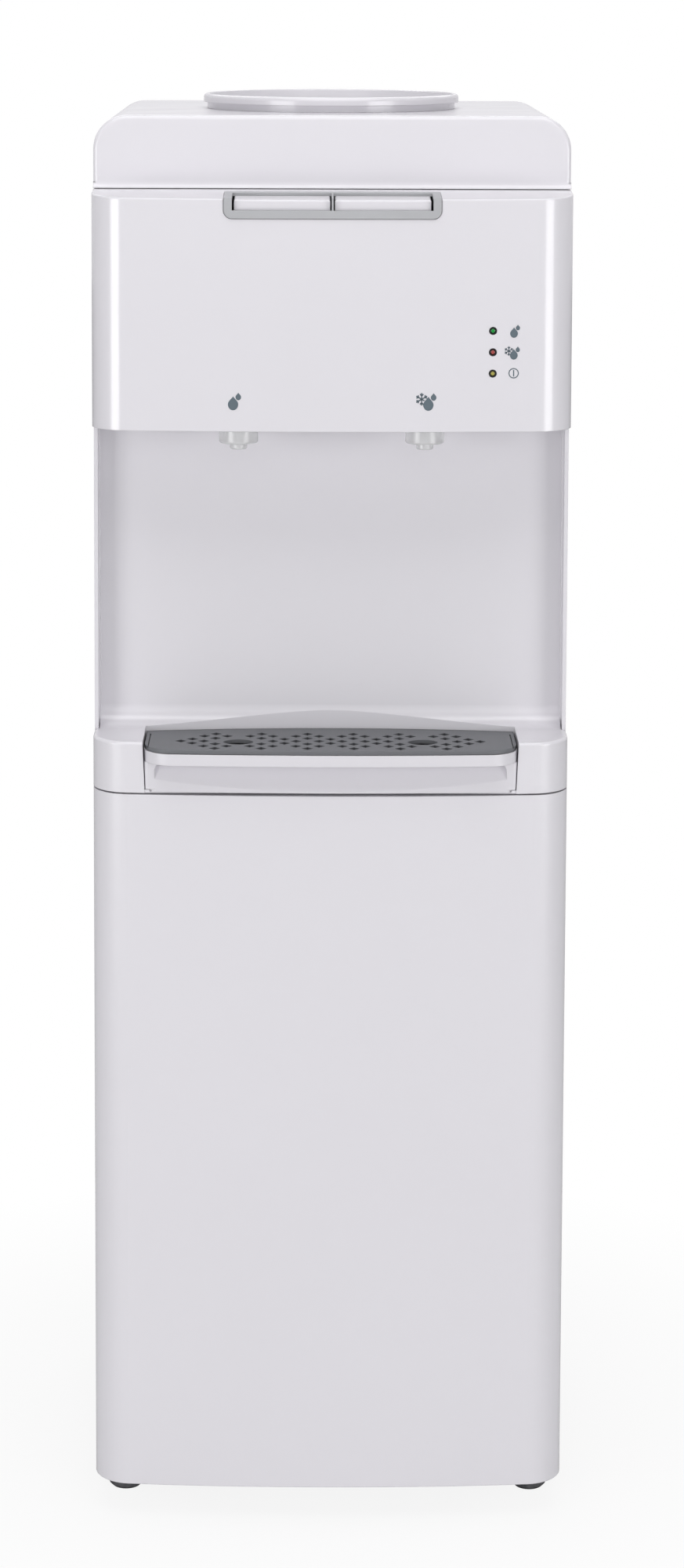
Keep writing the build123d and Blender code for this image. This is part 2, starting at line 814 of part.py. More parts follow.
def make_bottle_collar():
    lip_low_z = collar_top_z - collar_lip_h
    skirt_in = collar_hole_r - moulding_t
    with BuildPart() as bottle_collar:
        add(
            turned(
                [
                    (collar_mouth_r, collar_top_z),
                    (collar_r, collar_top_z),
                    (collar_r, lip_low_z),
                    (collar_neck_r, lip_low_z),
                    (collar_neck_r, top_z),
                    (collar_hole_r, top_z),
                    (collar_hole_r, collar_skirt_z),
                    (seat_ledge_r, collar_skirt_z),
                    (seat_ledge_r, seat_ledge_z + seat_ledge_t),
                    (skirt_in, seat_ledge_z + seat_ledge_t),
                    (skirt_in, top_z),
                ]
            )
        )
        lip = bottle_collar.edges().filter_by(GeomType.CIRCLE).group_by(Axis.Z)[-1]
        fillet(lip.sort_by(SortBy.RADIUS)[-1], collar_lip_round)
        fillet(lip.sort_by(SortBy.RADIUS)[0], collar_mouth_round)
    save(bottle_collar.part, "bottle_collar")


def make_bottle_seat():
    flange_z = seat_ledge_z + seat_ledge_t + fit
    steepness = (flange_z - seat_cone_low_z) / (seat_cone_r - seat_well_r)
    drop = seat_t * hypot(1, steepness)
    with BuildPart() as bottle_seat:
        add(
            turned(
                [
                    (seat_flange_r, flange_z + seat_t),
                    (seat_cone_r, flange_z + seat_t),
                    (seat_well_r, seat_cone_low_z + seat_t),
                    (seat_well_r, seat_floor_z + seat_t),
                    (probe_r, seat_floor_z + seat_t),
                    (probe_r, probe_top_z - probe_r),
                    (probe_r / 2, probe_top_z),
                    (0, probe_top_z),
                    (0, probe_top_z - seat_t),
                    (probe_bore_r, probe_top_z - probe_r - seat_t),
                    (probe_bore_r, spout_low_z),
                    (spout_r, spout_low_z),
                    (spout_r, seat_floor_z),
                    (seat_well_r + seat_t, seat_floor_z),
                    (seat_well_r + seat_t, seat_cone_low_z + seat_t * (1 + steepness) - drop),
                    (seat_cone_r + (drop - seat_t) / steepness, flange_z),
                    (seat_flange_r, flange_z),
                ]
            )
        )
        for turn in (0, 90):
            plane = Plane(
                origin=(0, axis_y, probe_top_z - probe_slot_down - probe_slot_h / 2),
                x_dir=(-sin(radians(turn)), cos(radians(turn)), 0),
                z_dir=(cos(radians(turn)), sin(radians(turn)), 0),
            )
            with BuildSketch(plane):
                SlotOverall(probe_slot_h, probe_slot_w, rotation=90)
            extrude(amount=probe_r + fit, both=True, mode=Mode.SUBTRACT)
    save(bottle_seat.part, "bottle_seat")


# ---------------------------------------------------------------- drip tray


def flush_plan(inset, nose, back, arch=tray_arch):
    """Plan of the tray below its lip, with small corner rounds."""
    round_r = tray_gap + moulding_t
    return bowed_plan(tray_half_w - inset, nose, bow_r, round_r, back, arch)


def make_drip_tray():
    with BuildPart() as finger_recess:
        with BuildSketch(Plane.XZ.offset(-basin_front_y)):
            tall = 2 * (tray_lip_z - tray_low_z)
            with Locations((0, tray_low_z)):
                RectangleRounded(2 * recess_half_w, tall, recess_corner_r)
        extrude(amount=tray_stand * 4)
        apron_run = apron_top_y - apron_front_y + apron_land
        apron_rise = tray_lip_z - tray_low_z
        apron = Plane(
            origin=(0, apron_top_y, tray_lip_z),
            x_dir=(1, 0, 0),
            z_dir=(0, -apron_rise, apron_run),
        )
        split(bisect_by=apron, keep=Keep.TOP)
    with BuildPart() as drip_tray:
        with BuildSketch(Plane.XY.offset(tray_floor_z)):
            make_face(flush_plan(0, apron_front_y, tray_back_y))
        extrude(amount=tray_lip_z - tray_floor_z)
        with BuildSketch(Plane.XY.offset(tray_lip_z)):
            make_face(tray_plan(0))
        extrude(amount=tray_rim_z - fit - tray_lip_z)
        with BuildSketch(Plane.XY.offset(tray_low_z)):
            make_face(flush_plan(0, apron_front_y, tray_back_y))
            with Locations((0, apron_back_y + reach / 2)):
                Rectangle(reach, reach, mode=Mode.SUBTRACT)
        extrude(amount=tray_floor_z - tray_low_z)
        for side in (-1, 1):
            split(bisect_by=lean_plane(side, 0), keep=Keep.BOTTOM)
        add(finger_recess.part, mode=Mode.SUBTRACT)
        wall = tray_half_w - tray_foot_half_w + tray_t
        with BuildSketch(Plane.XY.offset(tray_floor_z + tray_t)):
            make_face(flush_plan(wall, basin_front_y, tray_back_y - tray_t))
        extrude(amount=tray_lip_z, mode=Mode.SUBTRACT)
        with BuildSketch(Plane.XY.offset(basin_step_z)):
            make_face(tray_plan(tray_t + fit))
        extrude(amount=tray_lip_z, mode=Mode.SUBTRACT)
    save(drip_tray.part, "drip_tray")


def hole_places():
    """Centres of the small square holes: columns by number, rows by the column's kind."""
    places = []
    for column in range(-last_column, last_column + 1):
        kind = abs(column)
        if kind == cup_column:
            rows = ()
        elif kind == last_column:
            rows = (0,)
        elif abs(kind - cup_column) == 1:
            rows = (-far_row, far_row)
        elif column % 2:
            rows = (-far_row, 0, far_row)
        elif column % 4:
            rows = (-end_row, -mid_row, mid_row, end_row)
        else:
            rows = (-near_row, near_row)
        places += [(column * hole_pitch, hole_row_y + row) for row in rows]
    return places


def make_drip_grille():
    with BuildPart() as drip_grille:
        with BuildSketch(Plane.XY.offset(tray_rim_z)):
            make_face(tray_plan(tray_gap))
        extrude(amount=grille_t)
        rib = tray_t + 3 * fit
        with BuildSketch(Plane.XY.offset(tray_rim_z - rib_drop)):
            make_face(tray_plan(rib))
            make_face(tray_plan(rib + rib_t), mode=Mode.SUBTRACT)
        extrude(amount=rib_drop)
        fillet(drip_grille.edges().group_by(Axis.Z)[-1], groove_d / 2)
        with BuildSketch(Plane.XY.offset(grille_top_z - groove_d)):
            for side in (-1, 1):
                with Locations((side * (tray_half_w - groove_in), hole_row_y)):
                    Rectangle(groove_w, 2 * end_row)
        extrude(amount=grille_t, mode=Mode.SUBTRACT)
        with BuildSketch(Plane.XY.offset(tray_rim_z - fit)):
            with Locations(*hole_places()):
                RegularPolygon(hole_diagonal / 2, 4)
            for side in (-1, 1):
                x = side * cup_column * hole_pitch
                with BuildLine() as eye:
                    left = (x - eye_w / 2, eye_y)
                    right = (x + eye_w / 2, eye_y)
                    ThreePointArc(left, (x, eye_y + eye_d / 2), right)
                    ThreePointArc(right, (x, eye_y - eye_d / 2), left)
                make_face(eye.edges())
        extrude(amount=2 * grille_t, mode=Mode.SUBTRACT)
    save(drip_grille.part, "drip_grille")


# ---------------------------------------------------------------- buttons


def front_window(half, low, corner):
    """Round-cornered outline seen from the front, open above the ledge."""
    high = top_z
    with Locations((0, (low + high) / 2)):
        RectangleRounded(2 * half, high - low, corner)


def make_button_bezel():
    opening_half = bezel_half_w - bezel_band
    opening_low_z = bezel_low_z + bezel_band
    rib_x = (opening_half + bezel_rib_w / 2) / 2
    ears = (
        (-opening_half - ear_t, ear_t),
        (-middle_ear_t / 2, middle_ear_t),
        (opening_half, ear_t),
    )
    with BuildPart() as button_bezel:
        add(skin_volume(-bezel_proud, -bezel_proud, bezel_low_z, bezel_back_y))
        with BuildSketch(Plane.XZ.offset(-bezel_back_y)):
            front_window(bezel_half_w, bezel_low_z, bezel_corner_r)
        extrude(amount=reach, mode=Mode.INTERSECT)
        depth = bezel_t - bezel_proud
        add(skin_volume(depth, depth, bezel_low_z - bezel_t, return_y), mode=Mode.SUBTRACT)
        with BuildSketch(Plane.XZ.offset(-bezel_back_y + bezel_strip)):
            with Locations(*[(s * rib_x, (opening_low_z + top_z) / 2) for s in (-1, 1)]):
                Rectangle(opening_half - bezel_rib_w / 2, top_z - opening_low_z)
        extrude(amount=reach, mode=Mode.SUBTRACT)
        for x, thickness in ears:
            with BuildSketch(Plane.YZ.offset(x)):
                with Locations((pin_y, pin_z)):
                    Circle(ear_r)
                ear_front = bezel_back_y - bezel_strip
                under = ledge_height(ear_front) - moulding_t
                with BuildLine() as web:
                    Polyline(
                        (pin_y, pin_z - ear_r),
                        (pin_y, pin_z + ear_r),
                        (bezel_back_y - fit, under + fit),
                        (bezel_back_y - fit, ledge_height(bezel_back_y) - fit),
                        (ear_front, ledge_height(ear_front) - fit),
                        close=True,
                    )
                make_face(web.edges())
                with Locations((pin_y, pin_z)):
                    Circle(pin_r + shaft_gap, mode=Mode.SUBTRACT)
            extrude(amount=thickness)
    save(button_bezel.part, "button_bezel")


def make_buttons():
    key_outer_x = bezel_half_w - bezel_band - key_gap
    key_back_y = bezel_back_y - bezel_strip - 2 * fit
    for name, side in (("normal_button", -1), ("cold_button", 1)):
        with BuildPart() as key:
            add(skin_volume(key_recess, key_sunk, key_skirt_z, key_back_y))
            with BuildSketch(Plane.XZ):
                inner = side * key_inner_x
                outer = side * key_outer_x
                box_sketch(min(inner, outer), max(inner, outer), 0, top_z)
            extrude(amount=reach, mode=Mode.INTERSECT)
            top_face = key.faces().filter_by(ledge_plane).sort_by(Axis.Z)[-1]
            fillet(top_face.edges(), key_edge_r)
            with BuildPart(mode=Mode.PRIVATE) as hollow:
                front = key_recess + key_t
                top = key_sunk + key_t
                add(skin_volume(front, top, key_skirt_z - key_t, key_back_y + key_t))
                with BuildSketch(Plane.XZ):
                    inner = side * (key_inner_x + key_t)
                    outer = side * (key_outer_x - key_t)
                    box_sketch(min(inner, outer), max(inner, outer), 0, top_z)
                extrude(amount=reach, mode=Mode.INTERSECT)
            add(hollow.part, mode=Mode.SUBTRACT)
            for x in (side * (key_inner_x + arm_w / 2), side * (key_outer_x - arm_w / 2)):
                with BuildSketch(Plane.YZ.offset(x - arm_w / 2)):
                    with Locations((pin_y, pin_z)):
                        Circle(arm_r)
                    box_sketch(key_back_y - key_t, pin_y, pin_z - arm_r / 2, pin_z + arm_r / 2)
                    with Locations((pin_y, pin_z)):
                        Circle(pin_r + shaft_gap, mode=Mode.SUBTRACT)
                extrude(amount=arm_w)
            nose_x = side * key_outer_x if side < 0 else side * (tap_x - cam_r)
            nose_z = key_skirt_z - cam_drop + cam_r
            with BuildSketch(Plane.YZ.offset(nose_x)):
                with Locations((tap_y, nose_z)):
                    Circle(cam_r)
                box_sketch(
                    tap_y - cam_r,
                    tap_y + cam_r,
                    nose_z,
                    ledge_height(tap_y) - key_sunk - key_t / 2,
                )
            extrude(amount=key_outer_x - tap_x + cam_r)
        save(key.part, name)


def make_button_pin():
    with BuildPart() as button_pin:
        half = bezel_half_w - bezel_band + ear_t + pin_over
        with BuildSketch(Plane.YZ.offset(-half)):
            with Locations((pin_y, pin_z)):
                Circle(pin_r)
        extrude(amount=2 * half)
    save(button_pin.part, "button_pin")


# ---------------------------------------------------------------- taps


def turned_at(x, y, points):
    """Solid turned about an upright axis at x, y from radius and height pairs."""
    with BuildPart() as turning:
        with BuildSketch(Plane.XZ.offset(-y)):
            with BuildLine():
                Polyline(*[(x + r, z) for r, z in points], close=True)
            make_face()
        revolve(axis=Axis((x, y, 0), (0, 0, 1)))
    return turning.part


def make_taps():
    for name, side in (("normal", -1), ("cold", 1)):
        x = side * tap_x
        with BuildPart() as housing:
            add(
                turned_at(
                    x,
                    tap_y,
                    [
                        (nozzle_r + shaft_gap, tap_low_z),
                        (tap_collar_r, tap_low_z),
                        (tap_collar_r, ceiling_z),
                        (tap_barrel_r, ceiling_z),
                        (tap_barrel_r, tap_top_z),
                        (stem_r + shaft_gap, tap_top_z),
                        (stem_r + shaft_gap, tap_top_z - valve_seat_t),
                        (tap_chamber_r, tap_top_z - valve_seat_t),
                        (tap_chamber_r, valve_seat_z + valve_seat_t),
                        (valve_seat_r, valve_seat_z + valve_seat_t),
                        (valve_seat_r, valve_seat_z),
                        (tap_chamber_r, valve_seat_z),
                        (tap_chamber_r, nozzle_top_z),
                        (nozzle_r + shaft_gap, nozzle_top_z),
                    ],
                )
            )
            with BuildSketch(Plane.XZ.offset(-tap_y - tap_barrel_r + inlet_root)):
                with Locations((x, inlet_z)):
                    Circle(inlet_r)
            extrude(amount=-inlet_reach + tap_barrel_r - inlet_root)
            with BuildSketch(Plane.XZ.offset(-tap_y - tap_chamber_r + inlet_root)):
                with Locations((x, inlet_z)):
                    Circle(inlet_bore_r)
            extrude(amount=-reach, mode=Mode.SUBTRACT)
            low_edge = housing.edges().filter_by(GeomType.CIRCLE).group_by(Axis.Z)[0]
            fillet(low_edge.sort_by(SortBy.RADIUS)[-1], tap_round)
        save(housing.part, f"{name}_tap_housing")
        with BuildPart() as nozzle:
            add(
                turned_at(
                    x,
                    tap_y,
                    [
                        (nozzle_bore_r, nozzle_low_z),
                        (nozzle_r - nozzle_tip_in, nozzle_low_z),
                        (nozzle_r, nozzle_low_z + nozzle_tip_h),
                        (nozzle_r, nozzle_top_z),
                        (nozzle_bore_r, nozzle_top_z),
                    ],
                )
            )
        save(nozzle.part, f"{name}_nozzle")
        pad_z = key_skirt_z - cam_drop - fit
        plug_high_z = valve_seat_z - shaft_gap
        with BuildPart() as stem:
            add(
                turned_at(
                    x,
                    tap_y,
                    [
                        (0, plug_high_z - plug_h),
                        (plug_r - plug_bevel, plug_high_z - plug_h),
                        (plug_r, plug_high_z - plug_h + plug_bevel),
                        (plug_r, plug_high_z),
                        (stem_r, plug_high_z),
                        (stem_r, spring_disc_z),
                        (spring_disc_r, spring_disc_z),
                        (spring_disc_r, spring_disc_z + spring_disc_t),
                        (stem_r, spring_disc_z + spring_disc_t),
                        (stem_r, pad_z - spring_disc_t),
                        (stem_pad_r, pad_z - spring_disc_t),
                        (stem_pad_r, pad_z),
                        (0, pad_z),
                    ],
                )
            )
        save(stem.part, f"{name}_valve_stem")
        wire_low = tap_top_z + spring_wire_r + shaft_gap
        wire_high = spring_disc_z - spring_wire_r - shaft_gap
        with BuildPart() as spring:
            with BuildSketch(Plane(origin=(x + spring_r, tap_y, wire_low), z_dir=(0, 1, 0))):
                Circle(spring_wire_r)
            pitch = (wire_high - wire_low) / spring_turns
            sweep(path=coil_arcs(spring_r, pitch, spring_turns, x, tap_y, wire_low))
        save(spring.part, f"{name}_tap_spring")
    print("tap spring gap between turns", round(pitch - 2 * spring_wire_r, 2))


def make_water_hoses():
    for name, side, spigot_z in (("normal", -1, normal_spigot_z), ("cold", 1, cold_spigot_z)):
        start = Vector(side * tap_x, tap_y + tap_barrel_r + fit, inlet_z)
        end = Vector(side * spigot_x, axis_y - foam_outer_r - fit, spigot_z)
        turn_y = (start.Y + end.Y) / 2
        corners = [start, (start.X, turn_y, start.Z), (end.X, turn_y, end.Z), end]
        bend_r = turn_y - start.Y - hose_grip
        with BuildLine() as route:
            FilletPolyline(*corners, radius=bend_r)
        with BuildPart() as hose:
            with BuildSketch(Plane(origin=start, z_dir=(0, 1, 0))):
                Circle(hose_r)
                Circle(hose_bore_r, mode=Mode.SUBTRACT)
            sweep(path=route.line)
        save(hose.part, f"{name}_water_hose")


def make_tap_bracket():
    with BuildPart() as tap_bracket:
        with BuildSketch(Plane.XY.offset(bracket_z)):
            with Locations((0, tap_y)):
                Rectangle(2 * bracket_half_w, bracket_depth)
            with Locations((-tap_x, tap_y), (tap_x, tap_y)):
                Circle(tap_barrel_r + shaft_gap, mode=Mode.SUBTRACT)
        extrude(amount=bracket_t)
        leg_low_z = ceiling_z + moulding_t
        with BuildSketch(Plane.XY.offset(leg_low_z)):
            leg_x = bracket_half_w - bracket_leg_t / 2
            with Locations((-leg_x, tap_y), (0, tap_y), (leg_x, tap_y)):
                Rectangle(bracket_leg_t, bracket_depth)
        extrude(amount=bracket_z - leg_low_z)
    save(tap_bracket.part, "tap_bracket")


# ---------------------------------------------------------------- indicator lamps


def make_lamps():
    face_y = bow_front(lamp_x)
    back_face_y = bow_front(lamp_x, moulding_t) + fit
    with BuildPart() as lamp_holders:
        for z in lamp_heights.values():
            with BuildSketch(Plane.XZ.offset(-face_y - fit)):
                with Locations((lamp_x, z)):
                    Circle(lamp_ring_r)
                    Circle(lamp_bore_r, mode=Mode.SUBTRACT)
            extrude(amount=face_y + fit - back_face_y - 2 * moulding_t)
            with BuildSketch(Plane.XZ.offset(-back_face_y - fit)):
                with Locations((lamp_x, z)):
                    Circle(lamp_flange_r)
                    Circle(lamp_bore_r, mode=Mode.SUBTRACT)
            extrude(amount=-moulding_t)
    save(lamp_holders.part, "lamp_holders")
    for name, z in lamp_heights.items():
        with BuildPart() as lamp:
            with BuildSketch(Plane.XZ.offset(-board_y)):
                with Locations((lamp_x, z)):
                    Circle(lamp_r)
            extrude(amount=board_y - face_y - lamp_sunk)
            tip = lamp.faces().sort_by(Axis.Y)[0]
            fillet(tip.edges(), lamp_r / 2)
        save(lamp.part, name)
    with BuildPart() as lamp_board:
        with BuildSketch(Plane.XZ.offset(-board_y)):
            with Locations((lamp_x, (board_low_z + board_high_z) / 2)):
                Rectangle(board_w, board_high_z - board_low_z)
        extrude(amount=-board_t)
    save(lamp_board.part, "lamp_board")


# ---------------------------------------------------------------- tank


def make_tank():
    with BuildPart() as cold_tank:
        with BuildSketch(Plane.XY.offset(tank_low_z)):
            with Locations((0, axis_y)):
                Circle(tank_r)
        extrude(amount=tank_high_z - tank_low_z)
        for side, z in ((-1, normal_spigot_z), (1, cold_spigot_z)):
            with BuildSketch(Plane.XZ.offset(-axis_y)):
                with Locations((side * spigot_x, z)):
                    Circle(spigot_r)
            extrude(amount=axis_y - spigot_tip_y)
        with BuildSketch(Plane.XZ.offset(-axis_y)):
            with Locations((0, drain_z)):
                Circle(drain_r + tank_t)
        extrude(amount=-(tank_r + drain_socket))
        with BuildSketch(Plane.XY.offset(tank_low_z + tank_t)):
            with Locations((0, axis_y)):
                Circle(tank_r - tank_t)
        extrude(amount=tank_high_z, mode=Mode.SUBTRACT)
        for side, z in ((-1, normal_spigot_z), (1, cold_spigot_z)):
            with BuildSketch(Plane.XZ.offset(-axis_y)):
                with Locations((side * spigot_x, z)):
                    Circle(spigot_r - tank_t)
            extrude(amount=reach, mode=Mode.SUBTRACT)
        with BuildSketch(Plane.XZ.offset(-axis_y)):
            with Locations((0, drain_z)):
                Circle(drain_r + shaft_gap)
        extrude(amount=-reach, mode=Mode.SUBTRACT)
    save(cold_tank.part, "cold_tank")
    with BuildPart() as tank_lid:
        with BuildSketch(Plane.XY.offset(tank_high_z)):
            with Locations((0, axis_y)):
                Circle(tank_r + lid_over)
                Circle(seat_well_r + seat_t + fit, mode=Mode.SUBTRACT)
        extrude(amount=lid_t)
        with BuildSketch(Plane.XY.offset(tank_high_z - lid_t)):
            with Locations((0, axis_y)):
                Circle(tank_r - tank_t - fit)
                Circle(tank_r - tank_t - fit - lid_rim_t, mode=Mode.SUBTRACT)
        extrude(amount=lid_t)
    save(tank_lid.part, "tank_lid")
    with BuildPart() as baffle_disc:
        with BuildSketch(Plane.XY.offset(baffle_z)):
            with Locations((0, axis_y)):
                Circle(tank_r - tank_t - baffle_gap)
            with Locations((0, axis_y)):
                with PolarLocations(baffle_circle_r, 6):
                    Circle(baffle_holes_r, mode=Mode.SUBTRACT)
        extrude(amount=baffle_t)
        with BuildSketch(Plane.XY.offset(tank_low_z + tank_t)):
            with Locations((0, axis_y)):
                with PolarLocations(leg_circle_r, 3, start_angle=90):
                    Circle(leg_r)
        extrude(amount=baffle_z - tank_low_z - tank_t)
    save(baffle_disc.part, "baffle_disc")
    pipe_start = axis_y + tank_r - tank_t + fit
    with BuildPart() as drain_pipe:
        with BuildSketch(Plane.XZ.offset(-pipe_start)):
            with Locations((0, drain_z)):
                Circle(drain_r)
                Circle(drain_bore_r, mode=Mode.SUBTRACT)
        extrude(amount=-(drain_tip_y - pipe_start))
    save(drain_pipe.part, "drain_pipe")
    with BuildPart() as drain_cap:
        with BuildSketch(Plane.XZ.offset(-drain_tip_y - cap_wall)):
            with Locations((0, drain_z)):
                Circle(cap_r)
            with Locations((0, drain_z)):
                with PolarLocations(cap_r, cap_ribs):
                    Circle(cap_flute_r, mode=Mode.SUBTRACT)
        extrude(amount=cap_depth)
        with BuildSketch(Plane.XZ.offset(-drain_tip_y - shaft_gap)):
            with Locations((0, drain_z)):
                Circle(drain_r + shaft_gap)
        extrude(amount=cap_depth, mode=Mode.SUBTRACT)
    save(drain_cap.part, "drain_cap")


def make_evaporator():
    tail_start = Vector(coil_r, axis_y - coil_tail, coil_low_z)
    with BuildLine() as route:
        Line(tail_start, (coil_r, axis_y, coil_low_z))
        add(coil_arcs(coil_r, coil_pitch, coil_turns, 0, axis_y, coil_low_z))
        Line((coil_r, axis_y, coil_high_z), (coil_r, axis_y + coil_tail, coil_high_z))
    with BuildPart() as evaporator_coil:
        with BuildSketch(Plane(origin=tail_start, z_dir=(0, 1, 0))):
            Circle(coil_tube_r)
        sweep(path=route.line)
    save(evaporator_coil.part, "evaporator_coil")
    print("evaporator gap between turns", round(coil_pitch - 2 * coil_tube_r, 2))


def feeler_plane(radius):
    """Across the thermostat's feeler, which runs radially to the tank, at a radius from its axis."""
    outward = Vector(thermostat_x, thermostat_y - axis_y, 0).normalized()
    return Plane(origin=Vector(0, axis_y, thermostat_z) + outward * radius, z_dir=outward)


def make_insulation():
    for name, side in (("insulation_front", -1), ("insulation_rear", 1)):
        with BuildPart() as foam:
            with BuildSketch(Plane.XY.offset(tank_low_z - foam_floor_t)):
                with Locations((0, axis_y)):
                    Circle(foam_outer_r)
            extrude(amount=foam_floor_t + tank_high_z - tank_low_z)
            with BuildSketch(Plane.XY.offset(tank_low_z)):
                with Locations((0, axis_y)):
                    Circle(foam_inner_r)
            extrude(amount=reach, mode=Mode.SUBTRACT)
            cut = Plane.XZ.offset(-axis_y)
            split(bisect_by=cut, keep=Keep.TOP if side < 0 else Keep.BOTTOM)
            if side < 0:
                with BuildSketch(Plane.XZ.offset(-axis_y)):
                    with Locations((-spigot_x, normal_spigot_z), (spigot_x, cold_spigot_z)):
                        Circle(spigot_r + fit)
                    with Locations((coil_r, coil_low_z)):
                        Circle(coil_tube_r + fit)
                extrude(amount=reach, mode=Mode.SUBTRACT)
            else:
                with BuildSketch(Plane.XZ.offset(-axis_y)):
                    with Locations((0, drain_z)):
                        Circle(drain_r + tank_t + fit)
                extrude(amount=-reach, mode=Mode.SUBTRACT)
                with BuildSketch(feeler_plane(tank_r)):
                    Circle(bulb_r + fit)
                extrude(amount=foam_outer_r, mode=Mode.SUBTRACT)
                with BuildSketch(Plane.XZ.offset(-axis_y)):
                    with Locations((coil_r, coil_high_z)):
                        Circle(coil_tube_r + fit)
                extrude(amount=-reach, mode=Mode.SUBTRACT)
        save(foam.part, name)


def make_tank_shelf():
    with BuildPart() as tank_shelf:
        shelf_z = tank_low_z - foam_floor_t - sheet_t
        side_x = half_w - sheet_t
        with BuildSketch(Plane.XY.offset(shelf_z)):
            box_sketch(-side_x, side_x, niche_y + 2 * moulding_t, back_y - 2 * sheet_t - fit)
        extrude(amount=sheet_t)
        with BuildSketch(Plane.XY.offset(shelf_z - flange_w)):
            for side in (-1, 1):
                outer = side * side_x
                inner = side * (side_x - sheet_t)
                box_sketch(
                    min(outer, inner),
                    max(outer, inner),
                    niche_y + 2 * moulding_t,
                    back_y - 2 * sheet_t - fit,
                )
        extrude(amount=flange_w)
        with BuildSketch(Plane.XY.offset(shelf_z - flange_w)):
            with Locations((coil_r, suction_y), (coil_r, capillary_y)):
                Circle(suction_r + grommet_gap)
        extrude(amount=reach, mode=Mode.SUBTRACT)
    save(tank_shelf.part, "tank_shelf")


# ---------------------------------------------------------------- cooling circuit


def make_compressor():
    plate_low = pot_plate_z
    plate_high = plate_low + pot_plate_t
    with BuildPart() as compressor:
        with BuildSketch(Plane.XY.offset(plate_high - pot_root)):
            with Locations((pot_x, pot_y)):
                Circle(pot_r)
        extrude(amount=pot_high_z - plate_high + pot_root)
        fillet(compressor.edges().group_by(Axis.Z)[-1], pot_dome_r)
        with BuildSketch(Plane.XY.offset((pot_low_z + pot_high_z) / 2)):
            with Locations((pot_x, pot_y)):
                Circle(pot_r + pot_weld_r)
        extrude(amount=pot_weld_h)
        with BuildSketch(Plane.XY.offset(plate_low)):
            with Locations((pot_x, pot_y)):
                RectangleRounded(pot_plate_w, pot_plate_d, mount_r)
            with Locations(*mount_places()):
                Circle(mount_neck_r + fit, mode=Mode.SUBTRACT)
        extrude(amount=pot_plate_t)
        for x, z in ((discharge_x, discharge_z), (suction_stub_x, suction_stub_z)):
            with BuildSketch(Plane.XZ.offset(-pot_y)):
                with Locations((x, z)):
                    Circle(suction_r + stub_wall)
            extrude(amount=-(stub_y - pot_y))
    save(compressor.part, "compressor")
    with BuildPart() as compressor_mounts:
        for x, y in mount_places():
            pan_z = build_low_z + pan_t
            add(
                turned_at(
                    x,
                    y,
                    [
                        (bolt_r + fit, pan_z),
                        (mount_r, pan_z),
                        (mount_r, plate_low),
                        (mount_neck_r, plate_low),
                        (mount_neck_r, plate_high),
                        (mount_r, plate_high),
                        (mount_r, plate_high + mount_top_t),
                        (bolt_r + fit, plate_high + mount_top_t),
                    ],
                )
            )
    save(compressor_mounts.part, "compressor_mounts")
    with BuildPart() as compressor_bolts:
        pan_z = build_low_z + pan_t
        head_z = plate_high + mount_top_t
        with BuildSketch(Plane.XY.offset(pan_z)):
            with Locations(*mount_places()):
                Circle(bolt_r)
        extrude(amount=head_z - pan_z)
        with BuildSketch(Plane.XY.offset(head_z)):
            with Locations(*mount_places()):
                RegularPolygon(bolt_head_r, 6)
        extrude(amount=bolt_head_h)
    save(compressor_bolts.part, "compressor_bolts")
    with BuildPart() as starter_box:
        box_low_z = (pot_low_z + pot_high_z) / 2 - starter_h - starter_round
        with BuildSketch(Plane.XY.offset(box_low_z)):
            box_sketch(
                pot_x + pot_r - starter_d / 2,
                pot_x + pot_r + starter_d / 2,
                pot_y - starter_w / 2,
                pot_y + starter_w / 2,
            )
        extrude(amount=starter_h)
        fillet(starter_box.edges().filter_by(Axis.Z), starter_round)
        with BuildSketch(Plane.XY.offset(box_low_z)):
            with Locations((pot_x, pot_y)):
                Circle(pot_r)
        extrude(amount=starter_h, mode=Mode.SUBTRACT)
    save(starter_box.part, "starter_box")


def mount_places():
    return [(pot_x + i * mount_x, pot_y + j * mount_dy) for i in (-1, 1) for j in (-1, 1)]


def tube_along(points, bend_r, radius):
    """A tube's solid along straight runs joined by bends."""
    with BuildLine() as route:
        FilletPolyline(*points, radius=bend_r)
    line = route.line
    with BuildPart() as tube:
        with BuildSketch(Plane(origin=line @ 0, z_dir=line % 0)):
            Circle(radius)
        sweep(path=line)
    return tube.part


def pass_height(i):
    return fin_top_z - i * fin_pitch


